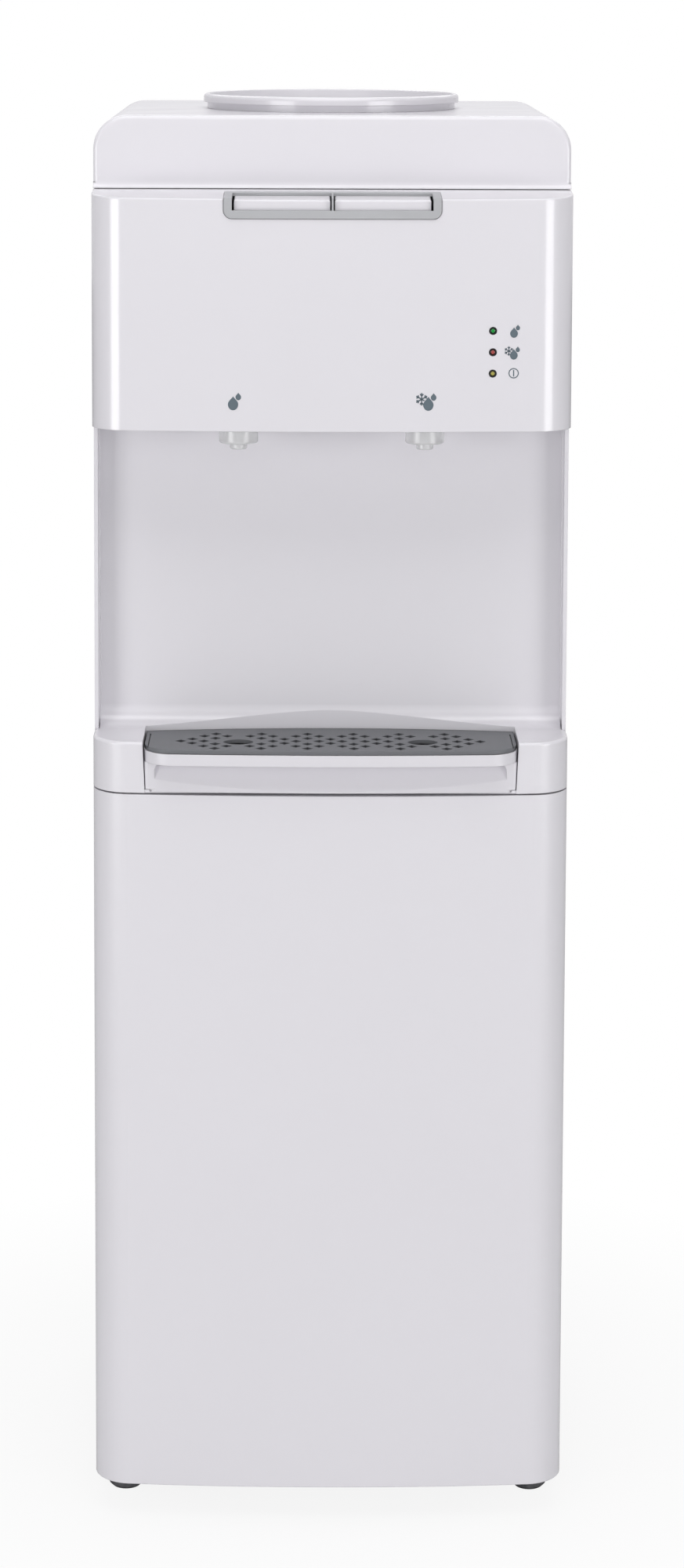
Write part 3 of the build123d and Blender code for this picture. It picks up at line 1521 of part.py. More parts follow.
def make_condenser():
    points = [(riser_x, fin_y, fin_top_z - fin_pitch), (riser_x, fin_y, fin_top_z)]
    for i in range(fin_passes):
        far = -fin_half_w if i % 2 == 0 else fin_half_w
        last = i == fin_passes - 1
        if last:
            points += [
                (drier_x, fin_y, pass_height(i)),
                (drier_x, drier_y, pass_height(i)),
                (drier_x, drier_y, drier_high_z + drier_neck),
            ]
        else:
            points += [(far, fin_y, pass_height(i)), (far, fin_y, pass_height(i + 1))]
    bends = [riser_bend_r] + [fin_bend_r] * (len(points) - 5) + [rear_bend_r, neck_bend_r]
    save(tube_along(points, bends, tube_r), "condenser_tube")
    wire_y = fin_y + tube_r + wire_r
    count = int(wire_span // wire_pitch)
    with BuildPart() as condenser_wires:
        with BuildSketch(Plane.XY.offset(pass_height(fin_passes - 1) - wire_over)):
            with Locations(*[(i * wire_pitch, wire_y) for i in range(-count, count + 1)]):
                Circle(wire_r)
        extrude(amount=fin_top_z - pass_height(fin_passes - 1) + 2 * wire_over)
    save(condenser_wires.part, "condenser_wires")
    with BuildPart() as condenser_clips:
        for z in [pass_height(i) for i in clip_passes]:
            with BuildSketch(Plane.XZ.offset(-back_y)):
                with Locations((-clip_x, z), (clip_x, z)):
                    Rectangle(clip_w, clip_h)
            extrude(amount=-(fin_y + tube_r + clip_cover - back_y))
            with BuildSketch(Plane.YZ.offset(-half_w)):
                with Locations((fin_y, z)):
                    Circle(tube_r + shaft_gap)
            extrude(amount=width, mode=Mode.SUBTRACT)
    save(condenser_clips.part, "condenser_clips")


def make_pipes():
    discharge = [
        (discharge_x, stub_y, discharge_z),
        (discharge_x, fin_y, discharge_z),
        (riser_x, fin_y, discharge_z),
        (riser_x, fin_y, fin_top_z - fin_pitch),
    ]
    save(tube_along(discharge, stub_bend_r, tube_r), "discharge_pipe")
    with BuildPart() as filter_drier:
        with BuildSketch(Plane.XY.offset(drier_low_z)):
            with Locations((drier_x, drier_y)):
                Circle(drier_r)
        extrude(amount=drier_high_z - drier_low_z)
        fillet(filter_drier.edges().filter_by(GeomType.CIRCLE), drier_r / 2)
        with BuildSketch(Plane.XY.offset(drier_low_z - drier_neck)):
            with Locations((drier_x, drier_y)):
                Circle(tube_r)
        extrude(amount=drier_high_z - drier_low_z + 2 * drier_neck)
    save(filter_drier.part, "filter_drier")
    capillary = [
        (drier_x, drier_y, drier_low_z - drier_neck),
        (drier_x, drier_y, capillary_low_z),
        (drier_x, capillary_y, capillary_low_z),
        (drier_x, capillary_y, capillary_cross_z),
        (coil_r, capillary_y, capillary_cross_z),
        (coil_r, capillary_y, coil_low_z),
        (coil_r, axis_y - coil_tail, coil_low_z),
    ]
    bends = [neck_bend_r] + [long_bend_r] * 3 + [stub_bend_r]
    save(tube_along(capillary, bends, capillary_r), "capillary_tube")
    suction = [
        (coil_r, axis_y + coil_tail, coil_high_z),
        (coil_r, suction_y, coil_high_z),
        (coil_r, suction_y, suction_low_z),
        (coil_r, suction_turn_y, suction_stub_z),
        (suction_stub_x, suction_turn_y, suction_stub_z),
        (suction_stub_x, stub_y, suction_stub_z),
    ]
    bends = [neck_bend_r, long_bend_r, suction_bend_r, neck_bend_r]
    save(tube_along(suction, bends, suction_r), "suction_pipe")


# ---------------------------------------------------------------- electric fittings


def make_thermostat():
    with BuildPart() as thermostat:
        with BuildSketch(Plane.XY.offset(thermostat_z - thermostat_h / 2)):
            with Locations((thermostat_x, thermostat_y + thermostat_d / 2)):
                RectangleRounded(thermostat_w, thermostat_d, thermostat_round)
        extrude(amount=thermostat_h)
        with BuildSketch(feeler_plane(tank_r + fit)):
            Circle(bulb_r)
        extrude(amount=bulb_reach)
        with BuildSketch(feeler_plane(tank_r + fit)):
            Circle(feeler_r)
        extrude(amount=hypot(thermostat_x, thermostat_y - axis_y) - tank_r + feeler_r)
    save(thermostat.part, "thermostat")


def make_cooling_switch():
    pocket_w = switch_w - 2 * switch_wall
    pocket_h = switch_h - 2 * switch_wall
    with BuildPart() as switch_housing:
        with BuildSketch(Plane.XZ.offset(-back_y)):
            with Locations((switch_x, switch_z)):
                Rectangle(switch_w, switch_h)
        extrude(amount=switch_deep)
        with BuildSketch(Plane.XZ.offset(-back_y)):
            with Locations((switch_x, switch_z)):
                RectangleRounded(
                    switch_w + 2 * switch_bezel, switch_h + 2 * switch_bezel, switch_round
                )
        extrude(amount=-switch_bezel_t)
        fillet(switch_housing.faces().sort_by(Axis.Y)[-1].edges(), switch_bezel_t / 3)
        with BuildSketch(Plane.XZ.offset(-back_y - switch_bezel_t)):
            with Locations((switch_x, switch_z)):
                Rectangle(pocket_w, pocket_h)
        extrude(amount=switch_bezel_t + switch_pocket, mode=Mode.SUBTRACT)
        with BuildSketch(Plane.YZ.offset(switch_x)):
            with Locations((rocker_axis_y, switch_z)):
                Circle(trunnion_r + shaft_gap)
        extrude(amount=pocket_w / 2 + trunnion_reach + fit, both=True, mode=Mode.SUBTRACT)
    save(switch_housing.part, "switch_housing")
    half_h = pocket_h / 2 - rocker_swing_gap
    tilt = radians(rocker_rest_deg)
    profile = [
        (-rocker_low, -half_h),
        (rocker_horn, -half_h),
        (rocker_dip, 0.0),
        (rocker_horn, half_h),
        (-rocker_low, half_h),
    ]
    with BuildPart() as switch_rocker:
        width_x = pocket_w - 2 * fit
        with BuildSketch(Plane.YZ.offset(switch_x - width_x / 2)):
            with BuildLine():
                tilted = [
                    (
                        rocker_axis_y + y * cos(tilt) + z * sin(tilt),
                        switch_z - y * sin(tilt) + z * cos(tilt),
                    )
                    for y, z in profile
                ]
                Polyline(*tilted, close=True)
            make_face()
        extrude(amount=width_x)
        with BuildSketch(Plane.YZ.offset(switch_x)):
            with Locations((rocker_axis_y, switch_z)):
                Circle(trunnion_r)
        extrude(amount=pocket_w / 2 + trunnion_reach, both=True)
    save(switch_rocker.part, "switch_rocker")


def make_cord_gland():
    inner_y = back_y - sheet_t
    with BuildPart() as cord_gland:
        for y, radius, length in (
            (back_y, gland_r, -gland_flange_t),
            (back_y, gland_hole_r, sheet_t),
            (inner_y, gland_r - gland_nut_in, gland_flange_t),
        ):
            with BuildSketch(Plane.XZ.offset(-y)):
                with Locations((gland_x, gland_z)):
                    Circle(radius)
            extrude(amount=length)
        chamfer(cord_gland.faces().sort_by(Axis.Y)[-1].edges(), gland_bevel)
        with BuildSketch(Plane.XZ.offset(-back_y - 2 * gland_flange_t)):
            with Locations((gland_x, gland_z)):
                Circle(gland_bore_r)
        extrude(amount=reach, mode=Mode.SUBTRACT)
    save(cord_gland.part, "cord_gland")


make_base_pan()
make_feet()
make_side_panels()
make_back_panel()
make_panel_screws()
make_lower_front_panel()
make_dispensing_bay()
make_control_panel()
make_top_hood()
make_bottle_collar()
make_bottle_seat()
make_drip_tray()
make_drip_grille()
make_button_bezel()
make_buttons()
make_button_pin()
make_taps()
make_water_hoses()
make_tap_bracket()
make_lamps()
make_tank()
make_evaporator()
make_insulation()
make_tank_shelf()
make_compressor()
make_condenser()
make_pipes()
make_thermostat()
make_cooling_switch()
make_cord_gland()
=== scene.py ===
from math import asin, cos, pi, radians, sin

import bpy
from mathutils import Matrix, Vector


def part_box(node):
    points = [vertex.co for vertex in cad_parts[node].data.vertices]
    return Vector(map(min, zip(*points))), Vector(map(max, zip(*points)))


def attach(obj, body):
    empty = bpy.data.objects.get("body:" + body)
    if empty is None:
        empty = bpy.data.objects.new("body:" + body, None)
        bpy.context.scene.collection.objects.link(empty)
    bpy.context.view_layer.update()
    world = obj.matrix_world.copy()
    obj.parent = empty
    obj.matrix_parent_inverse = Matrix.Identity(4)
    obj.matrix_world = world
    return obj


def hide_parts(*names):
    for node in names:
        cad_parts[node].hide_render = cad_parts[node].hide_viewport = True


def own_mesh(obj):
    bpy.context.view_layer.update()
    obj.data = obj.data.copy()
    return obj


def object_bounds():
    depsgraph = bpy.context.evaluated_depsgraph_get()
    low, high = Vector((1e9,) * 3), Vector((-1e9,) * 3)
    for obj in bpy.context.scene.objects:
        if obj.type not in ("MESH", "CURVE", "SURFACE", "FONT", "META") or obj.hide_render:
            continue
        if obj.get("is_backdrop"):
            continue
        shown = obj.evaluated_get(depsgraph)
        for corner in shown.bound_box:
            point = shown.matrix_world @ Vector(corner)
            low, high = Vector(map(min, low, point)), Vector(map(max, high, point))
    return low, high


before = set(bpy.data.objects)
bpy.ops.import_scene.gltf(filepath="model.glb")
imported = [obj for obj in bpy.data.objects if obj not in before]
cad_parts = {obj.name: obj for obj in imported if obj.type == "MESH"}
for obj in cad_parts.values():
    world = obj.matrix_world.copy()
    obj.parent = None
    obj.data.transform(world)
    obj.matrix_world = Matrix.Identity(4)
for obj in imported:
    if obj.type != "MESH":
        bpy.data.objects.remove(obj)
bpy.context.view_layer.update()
bpy.ops.object.select_all(action="DESELECT")

# ---------------------------------------------------------------- base pan, tank shelf
# The pan closes the cabinet's floor and carries the feet and the compressor. Both it and
# the shelf under the tank are pressed from galvanised sheet, with the zinc's spangle left bare.


def new_material(name):
    """An empty node material and its Principled shader."""
    material = bpy.data.materials.new(name)
    material.use_nodes = True
    return material, material.node_tree.nodes["Principled BSDF"]


def dress(material, *names):
    """Gives CAD nodes a material."""
    for name in names:
        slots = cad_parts[name].data.materials
        slots.clear()
        slots.append(material)


def effect(name, inputs, outputs):
    """A shader node group with named sockets, and its group input and output nodes."""
    group = bpy.data.node_groups.new(name, "ShaderNodeTree")
    for label, kind, value in inputs:
        socket = group.interface.new_socket(label, in_out="INPUT", socket_type=kind)
        socket.default_value = value
    for label, kind in outputs:
        group.interface.new_socket(label, in_out="OUTPUT", socket_type=kind)
    return group, group.nodes.new("NodeGroupInput"), group.nodes.new("NodeGroupOutput")


def place_effect(material, group, **values):
    """A group placed in a material, with its own values."""
    node = material.node_tree.nodes.new("ShaderNodeGroup")
    node.node_tree = group
    for label, value in values.items():
        node.inputs[label.replace("_", " ")].default_value = value
    return node


def feed(tree, value, socket):
    """Gives a socket another socket's value, or a plain one."""
    if isinstance(value, bpy.types.NodeSocket):
        tree.links.new(value, socket)
    else:
        socket.default_value = value


def object_place(tree):
    """The Object coordinates."""
    return tree.nodes.new("ShaderNodeTexCoord").outputs["Object"]


def noise_in(tree, scale, detail, source=None):
    """Noise on the Object coordinates, or on a source of its own."""
    node = tree.nodes.new("ShaderNodeTexNoise")
    feed(tree, scale, node.inputs["Scale"])
    node.inputs["Detail"].default_value = detail
    tree.links.new(source or object_place(tree), node.inputs["Vector"])
    return node.outputs["Fac"]


def math_in(tree, operation, first, second):
    """A sum, product or the like of two values."""
    node = tree.nodes.new("ShaderNodeMath")
    node.operation = operation
    feed(tree, first, node.inputs[0])
    feed(tree, second, node.inputs[1])
    return node.outputs[0]


def ramp_in(tree, value, low, high, to_low=0.0, to_high=1.0):
    """Maps a value from one range to another, clamped."""
    node = tree.nodes.new("ShaderNodeMapRange")
    node.inputs["From Min"].default_value = low
    node.inputs["From Max"].default_value = high
    feed(tree, to_low, node.inputs["To Min"])
    feed(tree, to_high, node.inputs["To Max"])
    tree.links.new(value, node.inputs["Value"])
    return node.outputs["Result"]


def blend_in(tree, factor, first, second, blend="MIX"):
    """Two colours mixed by factor."""
    node = tree.nodes.new("ShaderNodeMix")
    node.data_type = "RGBA"
    node.blend_type = blend
    feed(tree, factor, node.inputs["Factor"])
    feed(tree, first, node.inputs["A"])
    feed(tree, second, node.inputs["B"])
    return node.outputs["Result"]


def shade_in(tree, colour, factor, dark=0.0, light=1.0):
    """A colour multiplied by a grey that goes from dark to light with factor."""
    grey = ramp_in(tree, factor, 0.0, 1.0, dark, light)
    return blend_in(tree, 1.0, colour, grey, "MULTIPLY")


# Dust settles on what faces up and thins out on the walls.
dust_layer, dust_in, dust_out = effect(
    "settled_dust",
    [("Colour", "NodeSocketColor", (0.8, 0.8, 0.8, 1)), ("Amount", "NodeSocketFloat", 0.1)],
    [("Colour", "NodeSocketColor"), ("Mask", "NodeSocketFloat")],
)
facing = dust_layer.nodes.new("ShaderNodeSeparateXYZ")
dust_layer.links.new(
    dust_layer.nodes.new("ShaderNodeNewGeometry").outputs["Normal"], facing.inputs["Vector"]
)
dust_up = ramp_in(dust_layer, facing.outputs["Z"], 0.2, 1.0)
dust_patch = ramp_in(dust_layer, noise_in(dust_layer, 45.0, 6.0), 0.35, 0.75)
dust_lying = math_in(dust_layer, "MULTIPLY", dust_up, dust_patch)
dust_share = math_in(dust_layer, "MULTIPLY", dust_lying, dust_in.outputs["Amount"])
dust_grey = (0.42, 0.40, 0.37, 1)
dusty = blend_in(dust_layer, dust_share, dust_in.outputs["Colour"], dust_grey)
dust_layer.links.new(dusty, dust_out.inputs["Colour"])
dust_layer.links.new(dust_share, dust_out.inputs["Mask"])

zinc, zinc_shader = new_material("galvanised_zinc")
zinc_tree = zinc.node_tree
zinc_links = zinc_tree.links
spangle = zinc_tree.nodes.new("ShaderNodeTexVoronoi")
spangle.inputs["Scale"].default_value = 110.0
zinc_links.new(object_place(zinc_tree), spangle.inputs["Vector"])
spangle_value = zinc_tree.nodes.new("ShaderNodeSeparateColor")
zinc_links.new(spangle.outputs["Color"], spangle_value.inputs["Color"])
zinc_grey = (0.60, 0.61, 0.62, 1)
zinc_tone = shade_in(zinc_tree, zinc_grey, spangle_value.outputs["Red"], 0.75, 1.0)
zinc_dust = place_effect(zinc, dust_layer, Amount=0.5)
zinc_links.new(zinc_tone, zinc_dust.inputs["Colour"])
zinc_links.new(zinc_dust.outputs["Colour"], zinc_shader.inputs["Base Color"])
zinc_rough = ramp_in(zinc_tree, spangle_value.outputs["Green"], 0.0, 1.0, 0.32, 0.5)
zinc_links.new(zinc_rough, zinc_shader.inputs["Roughness"])
zinc_shader.inputs["Metallic"].default_value = 0.9
dress(zinc, "base_pan", "tank_shelf")

# ---------------------------------------------------------------- feet and compressor mounts
# Four moulded rubber feet on studs, and four rubber grommets under the compressor's plate.
# Dark grey rubber with a dull bloom that is lighter where hands and floors have rubbed it.

rubber_skin, rubber_in, rubber_out = effect(
    "rubber_bloom",
    [("Colour", "NodeSocketColor", (0.05, 0.05, 0.05, 1)), ("Bloom", "NodeSocketFloat", 0.4)],
    [
        ("Colour", "NodeSocketColor"),
        ("Roughness", "NodeSocketFloat"),
        ("Height", "NodeSocketFloat"),
    ],
)
bloom_cloud = noise_in(rubber_skin, 160.0, 5.0)
bloom_mask = ramp_in(rubber_skin, bloom_cloud, 0.4, 0.7)
bloom_share = math_in(rubber_skin, "MULTIPLY", bloom_mask, rubber_in.outputs["Bloom"])
bloom_grey = (0.16, 0.16, 0.17, 1)
bloomed = blend_in(rubber_skin, bloom_share, rubber_in.outputs["Colour"], bloom_grey)
rubber_skin.links.new(bloomed, rubber_out.inputs["Colour"])
rubber_rough = ramp_in(rubber_skin, bloom_cloud, 0.3, 0.7, 0.55, 0.75)
rubber_skin.links.new(rubber_rough, rubber_out.inputs["Roughness"])
rubber_skin.links.new(noise_in(rubber_skin, 2500.0, 2.0), rubber_out.inputs["Height"])


def wire_surface(material, shader, node, depth, reach):
    """Feeds a group's colour, roughness and height to the material's shader."""
    links = material.node_tree.links
    links.new(node.outputs["Colour"], shader.inputs["Base Color"])
    links.new(node.outputs["Roughness"], shader.inputs["Roughness"])
    bump = material.node_tree.nodes.new("ShaderNodeBump")
    bump.inputs["Strength"].default_value = depth
    bump.inputs["Distance"].default_value = reach
    links.new(node.outputs["Height"], bump.inputs["Height"])
    if "Rounded Normal" in node.outputs:
        links.new(node.outputs["Rounded Normal"], bump.inputs["Normal"])
    links.new(bump.outputs["Normal"], shader.inputs["Normal"])


rubber, rubber_shader = new_material("foot_rubber")
rubber_node = place_effect(rubber, rubber_skin, Colour=(0.055, 0.055, 0.06, 1), Bloom=0.5)
wire_surface(rubber, rubber_shader, rubber_node, 0.25, 0.0002)
dress(rubber, "front_feet", "rear_feet", "compressor_mounts")

# ---------------------------------------------------------------- side and back panels
# Steel sheet folded at the edges and powder coated in the cabinet's off-white. The coat
# shows a faint orange peel and takes a softer gloss than the plastic mouldings beside it.

coat_skin, coat_in, coat_out = effect(
    "powder_coat",
    [
        ("Colour", "NodeSocketColor", (0.8, 0.8, 0.8, 1)),
        ("Mottle", "NodeSocketFloat", 0.03),
        ("Gloss", "NodeSocketFloat", 0.3),
        ("Edge", "NodeSocketFloat", 0.0006),
    ],
    [
        ("Colour", "NodeSocketColor"),
        ("Roughness", "NodeSocketFloat"),
        ("Height", "NodeSocketFloat"),
        ("Rounded Normal", "NodeSocketVector"),
    ],
)
coat_cloud = noise_in(coat_skin, 7.0, 4.0)
coat_low = math_in(coat_skin, "SUBTRACT", 1.0, coat_in.outputs["Mottle"])
coat_tone = shade_in(coat_skin, coat_in.outputs["Colour"], coat_cloud, coat_low)
coat_skin.links.new(coat_tone, coat_out.inputs["Colour"])
coat_spread = ramp_in(coat_skin, noise_in(coat_skin, 25.0, 5.0), 0.3, 0.7, 0.92, 1.12)
coat_rough = math_in(coat_skin, "MULTIPLY", coat_in.outputs["Gloss"], coat_spread)
coat_skin.links.new(coat_rough, coat_out.inputs["Roughness"])
coat_skin.links.new(noise_in(coat_skin, 420.0, 3.0), coat_out.inputs["Height"])
coat_edge = coat_skin.nodes.new("ShaderNodeBevel")
coat_edge.samples = 4
coat_skin.links.new(coat_in.outputs["Edge"], coat_edge.inputs["Radius"])
coat_skin.links.new(coat_edge.outputs["Normal"], coat_out.inputs["Rounded Normal"])

sheet_white, sheet_shader = new_material("coated_sheet")
sheet_node = place_effect(
    sheet_white, coat_skin, Colour=(0.735, 0.72, 0.755, 1), Mottle=0.03, Gloss=0.36, Edge=0.0005
)
wire_surface(sheet_white, sheet_shader, sheet_node, 0.12, 0.0003)
dress(sheet_white, "side_panel_left", "side_panel_right", "back_panel")

# ---------------------------------------------------------------- white mouldings
# Injection-moulded ABS: the lower panel, dispensing bay, control panel, hood, collar, keys
# and tray. One batch of slightly lilac off-white with a polished face and rounded edges.

shell_white, shell_shader = new_material("moulded_shell")
shell_node = place_effect(
    shell_white, coat_skin, Colour=(0.745, 0.73, 0.765, 1), Mottle=0.02, Gloss=0.24, Edge=0.0008
)
wire_surface(shell_white, shell_shader, shell_node, 0.05, 0.0002)
shell_shader.inputs["Coat Weight"].default_value = 0.35
shell_shader.inputs["Coat Roughness"].default_value = 0.08
dress(
    shell_white,
    "lower_front_panel",
    "dispensing_bay",
    "control_panel",
    "top_hood",
    "bottle_collar",
    "bottle_seat",
    "normal_button",
    "cold_button",
    "tap_bracket",
)

tray_shell, tray_shader = new_material("tray_shell")
tray_node = place_effect(
    tray_shell, coat_skin, Colour=(0.72, 0.705, 0.74, 1), Mottle=0.02, Gloss=0.3, Edge=0.0008
)
wire_surface(tray_shell, tray_shader, tray_node, 0.05, 0.0002)


# Occlusion used as painted shade in the colours of the tray and the grille.
def hollows_in(tree, reach):
    """How open a point lies: 1 in the open, less where walls within reach shut it in."""
    node = tree.nodes.new("ShaderNodeAmbientOcclusion")
    node.inputs["Distance"].default_value = reach
    return node.outputs["AO"]


# Painted shade: an occlusion mask darkens the basin behind the tray's front where its walls shut
# it in, and the front itself isn't darkened.
tray_tree = tray_shell.node_tree
tray_split = tray_tree.nodes.new("ShaderNodeSeparateXYZ")
tray_tree.links.new(object_place(tray_tree), tray_split.inputs["Vector"])
basin_front_y = -0.1446
tray_front_y = basin_front_y - 0.0004
before_basin = ramp_in(tray_tree, tray_split.outputs["Y"], basin_front_y, tray_front_y)
basin_painted_shade = math_in(tray_tree, "MAXIMUM", hollows_in(tray_tree, 0.03), before_basin)
tray_shaded_colour = shade_in(tray_tree, tray_node.outputs["Colour"], basin_painted_shade, 0.12, 1.0)
tray_tree.links.new(tray_shaded_colour, tray_shader.inputs["Base Color"])
dress(tray_shell, "drip_tray")

# ---------------------------------------------------------------- bezel and drip grille
# The frame round the two keys and the lift-off grille are moulded in mid grey, with a
# fine spark-eroded grain that keeps their gloss low.

grain_skin, grain_in, grain_out = effect(
    "eroded_grain",
    [
        ("Colour", "NodeSocketColor", (0.3, 0.3, 0.3, 1)),
        ("Fineness", "NodeSocketFloat", 2200.0),
        ("Gloss", "NodeSocketFloat", 0.4),
    ],
    [
        ("Colour", "NodeSocketColor"),
        ("Roughness", "NodeSocketFloat"),
        ("Height", "NodeSocketFloat"),
        ("Rounded Normal", "NodeSocketVector"),
    ],
)
grain_pits = noise_in(grain_skin, grain_in.outputs["Fineness"], 3.0)
grain_cloud = noise_in(grain_skin, 30.0, 4.0)
grain_tone = shade_in(grain_skin, grain_in.outputs["Colour"], grain_cloud, 0.93, 1.05)
grain_skin.links.new(grain_tone, grain_out.inputs["Colour"])
grain_spread = ramp_in(grain_skin, grain_pits, 0.3, 0.7, 0.9, 1.15)
grain_rough = math_in(grain_skin, "MULTIPLY", grain_in.outputs["Gloss"], grain_spread)
grain_skin.links.new(grain_rough, grain_out.inputs["Roughness"])
grain_skin.links.new(grain_pits, grain_out.inputs["Height"])
grain_edge = grain_skin.nodes.new("ShaderNodeBevel")
grain_edge.samples = 4
grain_edge.inputs["Radius"].default_value = 0.0004
grain_skin.links.new(grain_edge.outputs["Normal"], grain_out.inputs["Rounded Normal"])

grey_trim, grey_shader = new_material("grained_grey")
grey_node = place_effect(
    grey_trim, grain_skin, Colour=(0.44, 0.445, 0.46, 1), Fineness=2200.0, Gloss=0.42
)
wire_surface(grey_trim, grey_shader, grey_node, 0.2, 0.00008)
dress(grey_trim, "button_bezel")

grille_grey, grille_shader = new_material("grained_grille")
grille_node = place_effect(
    grille_grey, grain_skin, Colour=(0.145, 0.15, 0.16, 1), Fineness=1900.0, Gloss=0.5
)
wire_surface(grille_grey, grille_shader, grille_node, 0.25, 0.0001)
grille_tree = grille_grey.node_tree
# Painted shade: an occlusion mask darkens the grille in its holes and crevices.
grille_painted_shade = hollows_in(grille_tree, 0.005)
grille_shaded_colour = shade_in(grille_tree, grille_node.outputs["Colour"], grille_painted_shade, 0.15, 1.0)
grille_tree.links.new(grille_shaded_colour, grille_shader.inputs["Base Color"])
dress(grille_grey, "drip_grille")

# ---------------------------------------------------------------- taps
# Each tap is a natural polypropylene body with a nozzle pressed in and a valve stem inside.
# The bare resin is milky and lets the stem show through.

milk, milk_shader = new_material("milky_resin")
milk_node = place_effect(milk, coat_skin, Colour=(0.90, 0.90, 0.91, 1), Mottle=0.03, Gloss=0.2)
wire_surface(milk, milk_shader, milk_node, 0.04, 0.0002)
milk_shader.inputs["Transmission Weight"].default_value = 0.4
milk_shader.inputs["IOR"].default_value = 1.49
dress(
    milk,
    "normal_tap_housing",
    "cold_tap_housing",
    "normal_nozzle",
    "cold_nozzle",
    "normal_valve_stem",
    "cold_valve_stem",
)

# ---------------------------------------------------------------- hoses, tank lid, baffle, cap
# Silicone hoses carry the water to the taps. The lid, baffle and drain cap are natural
# plastic like the taps, but thicker, so they look plain white.

hose_skin, hose_shader = new_material("silicone_hose")
hose_node = place_effect(hose_skin, coat_skin, Colour=(0.78, 0.79, 0.80, 1), Gloss=0.35)
wire_surface(hose_skin, hose_shader, hose_node, 0.05, 0.0002)
hose_shader.inputs["Transmission Weight"].default_value = 0.3
dress(hose_skin, "normal_water_hose", "cold_water_hose")

natural, natural_shader = new_material("natural_plastic")
natural_node = place_effect(
    natural, grain_skin, Colour=(0.74, 0.74, 0.73, 1), Fineness=1500.0, Gloss=0.4
)
wire_surface(natural, natural_shader, natural_node, 0.15, 0.0001)
dress(natural, "tank_lid", "baffle_disc", "drain_cap")

# ---------------------------------------------------------------- bright metal
# The tank and drain pipe are stainless steel with a fine drawn grain. Screws, bolts, the
# keys' pin and the tap springs are zinc-plated steel.

drawn_grain, drawn_in, drawn_out = effect(
    "drawn_grain",
    [
        ("Colour", "NodeSocketColor", (0.6, 0.6, 0.6, 1)),
        ("Stretch", "NodeSocketFloat", 30.0),
        ("Gloss", "NodeSocketFloat", 0.28),
    ],
    [
        ("Colour", "NodeSocketColor"),
        ("Roughness", "NodeSocketFloat"),
        ("Height", "NodeSocketFloat"),
    ],
)
drawn_split = drawn_grain.nodes.new("ShaderNodeSeparateXYZ")
drawn_grain.links.new(object_place(drawn_grain), drawn_split.inputs["Vector"])
drawn_z = math_in(drawn_grain, "MULTIPLY", drawn_split.outputs["Z"], drawn_in.outputs["Stretch"])
drawn_join = drawn_grain.nodes.new("ShaderNodeCombineXYZ")
drawn_grain.links.new(drawn_split.outputs["X"], drawn_join.inputs["X"])
drawn_grain.links.new(drawn_split.outputs["Y"], drawn_join.inputs["Y"])
drawn_grain.links.new(drawn_z, drawn_join.inputs["Z"])
drawn_lines = noise_in(drawn_grain, 120.0, 4.0, drawn_join.outputs["Vector"])
drawn_tone = shade_in(drawn_grain, drawn_in.outputs["Colour"], drawn_lines, 0.85, 1.1)
drawn_grain.links.new(drawn_tone, drawn_out.inputs["Colour"])
drawn_spread = ramp_in(drawn_grain, drawn_lines, 0.3, 0.7, 0.85, 1.25)
drawn_rough = math_in(drawn_grain, "MULTIPLY", drawn_in.outputs["Gloss"], drawn_spread)
drawn_grain.links.new(drawn_rough, drawn_out.inputs["Roughness"])
drawn_grain.links.new(drawn_lines, drawn_out.inputs["Height"])

stainless, stainless_shader = new_material("drawn_stainless")
stainless_node = place_effect(stainless, drawn_grain, Colour=(0.60, 0.60, 0.61, 1), Gloss=0.3)
wire_surface(stainless, stainless_shader, stainless_node, 0.1, 0.0001)
stainless_shader.inputs["Metallic"].default_value = 1.0
dress(stainless, "cold_tank", "drain_pipe")

plated, plated_shader = new_material("zinc_plated")
plated_node = place_effect(
    plated, drawn_grain, Colour=(0.66, 0.66, 0.64, 1), Stretch=4.0, Gloss=0.25
)
wire_surface(plated, plated_shader, plated_node, 0.08, 0.0001)
plated_shader.inputs["Metallic"].default_value = 1.0
dress(plated, "panel_screws", "compressor_bolts", "button_pin")

# ---------------------------------------------------------------- tap springs
# Six turns of plated wire under each valve stem. They take the solid springs' place.

wire_r = 0.00045
wire_sides = 12
coil_turns = 6
turn_steps = 28
for spring_name, spring_joint in (
    ("normal_tap_spring", "normal_valve_push"),
    ("cold_tap_spring", "cold_valve_push"),
):
    spring_low, spring_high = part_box(spring_name)
    coil_x = (spring_low[0] + spring_high[0]) / 2
    coil_y = (spring_low[1] + spring_high[1]) / 2
    coil_r = (spring_high[0] - spring_low[0]) / 2 - wire_r
    coil_h = spring_high[2] - spring_low[2] - 2 * wire_r
    bpy.ops.object.select_all(action="DESELECT")
    bpy.ops.mesh.primitive_circle_add(
        vertices=wire_sides,
        radius=wire_r,
        location=(coil_r, 0, spring_low[2] + wire_r),
        rotation=(pi / 2, 0, 0),
    )
    coil = bpy.context.object
    coil.name = spring_name + "_coil"
    bpy.ops.object.transform_apply(location=True, rotation=True, scale=True)
    wound = coil.modifiers.new("wound", "SCREW")
    wound.axis = "Z"
    wound.iterations = coil_turns
    wound.screw_offset = coil_h / coil_turns
    wound.steps = turn_steps
    wound.render_steps = turn_steps
    bpy.ops.object.modifier_apply(modifier=wound.name)
    bpy.ops.object.mode_set(mode="EDIT")
    bpy.ops.mesh.select_all(action="SELECT")
    bpy.ops.mesh.fill_holes(sides=wire_sides)
    bpy.ops.mesh.normals_make_consistent(inside=False)
    bpy.ops.transform.translate(value=(coil_x, coil_y, 0))
    bpy.ops.object.mode_set(mode="OBJECT")
    bpy.ops.object.shade_smooth()
    coil.data.materials.append(plated)
    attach(coil, "cabinet")
    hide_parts(spring_name)
    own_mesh(coil)

# ---------------------------------------------------------------- cooling circuit
# Copper pipes and the evaporator coil carry the refrigerant. The compressor and the wire
# condenser on the back are black enamel, dusty on top, as such parts always are.

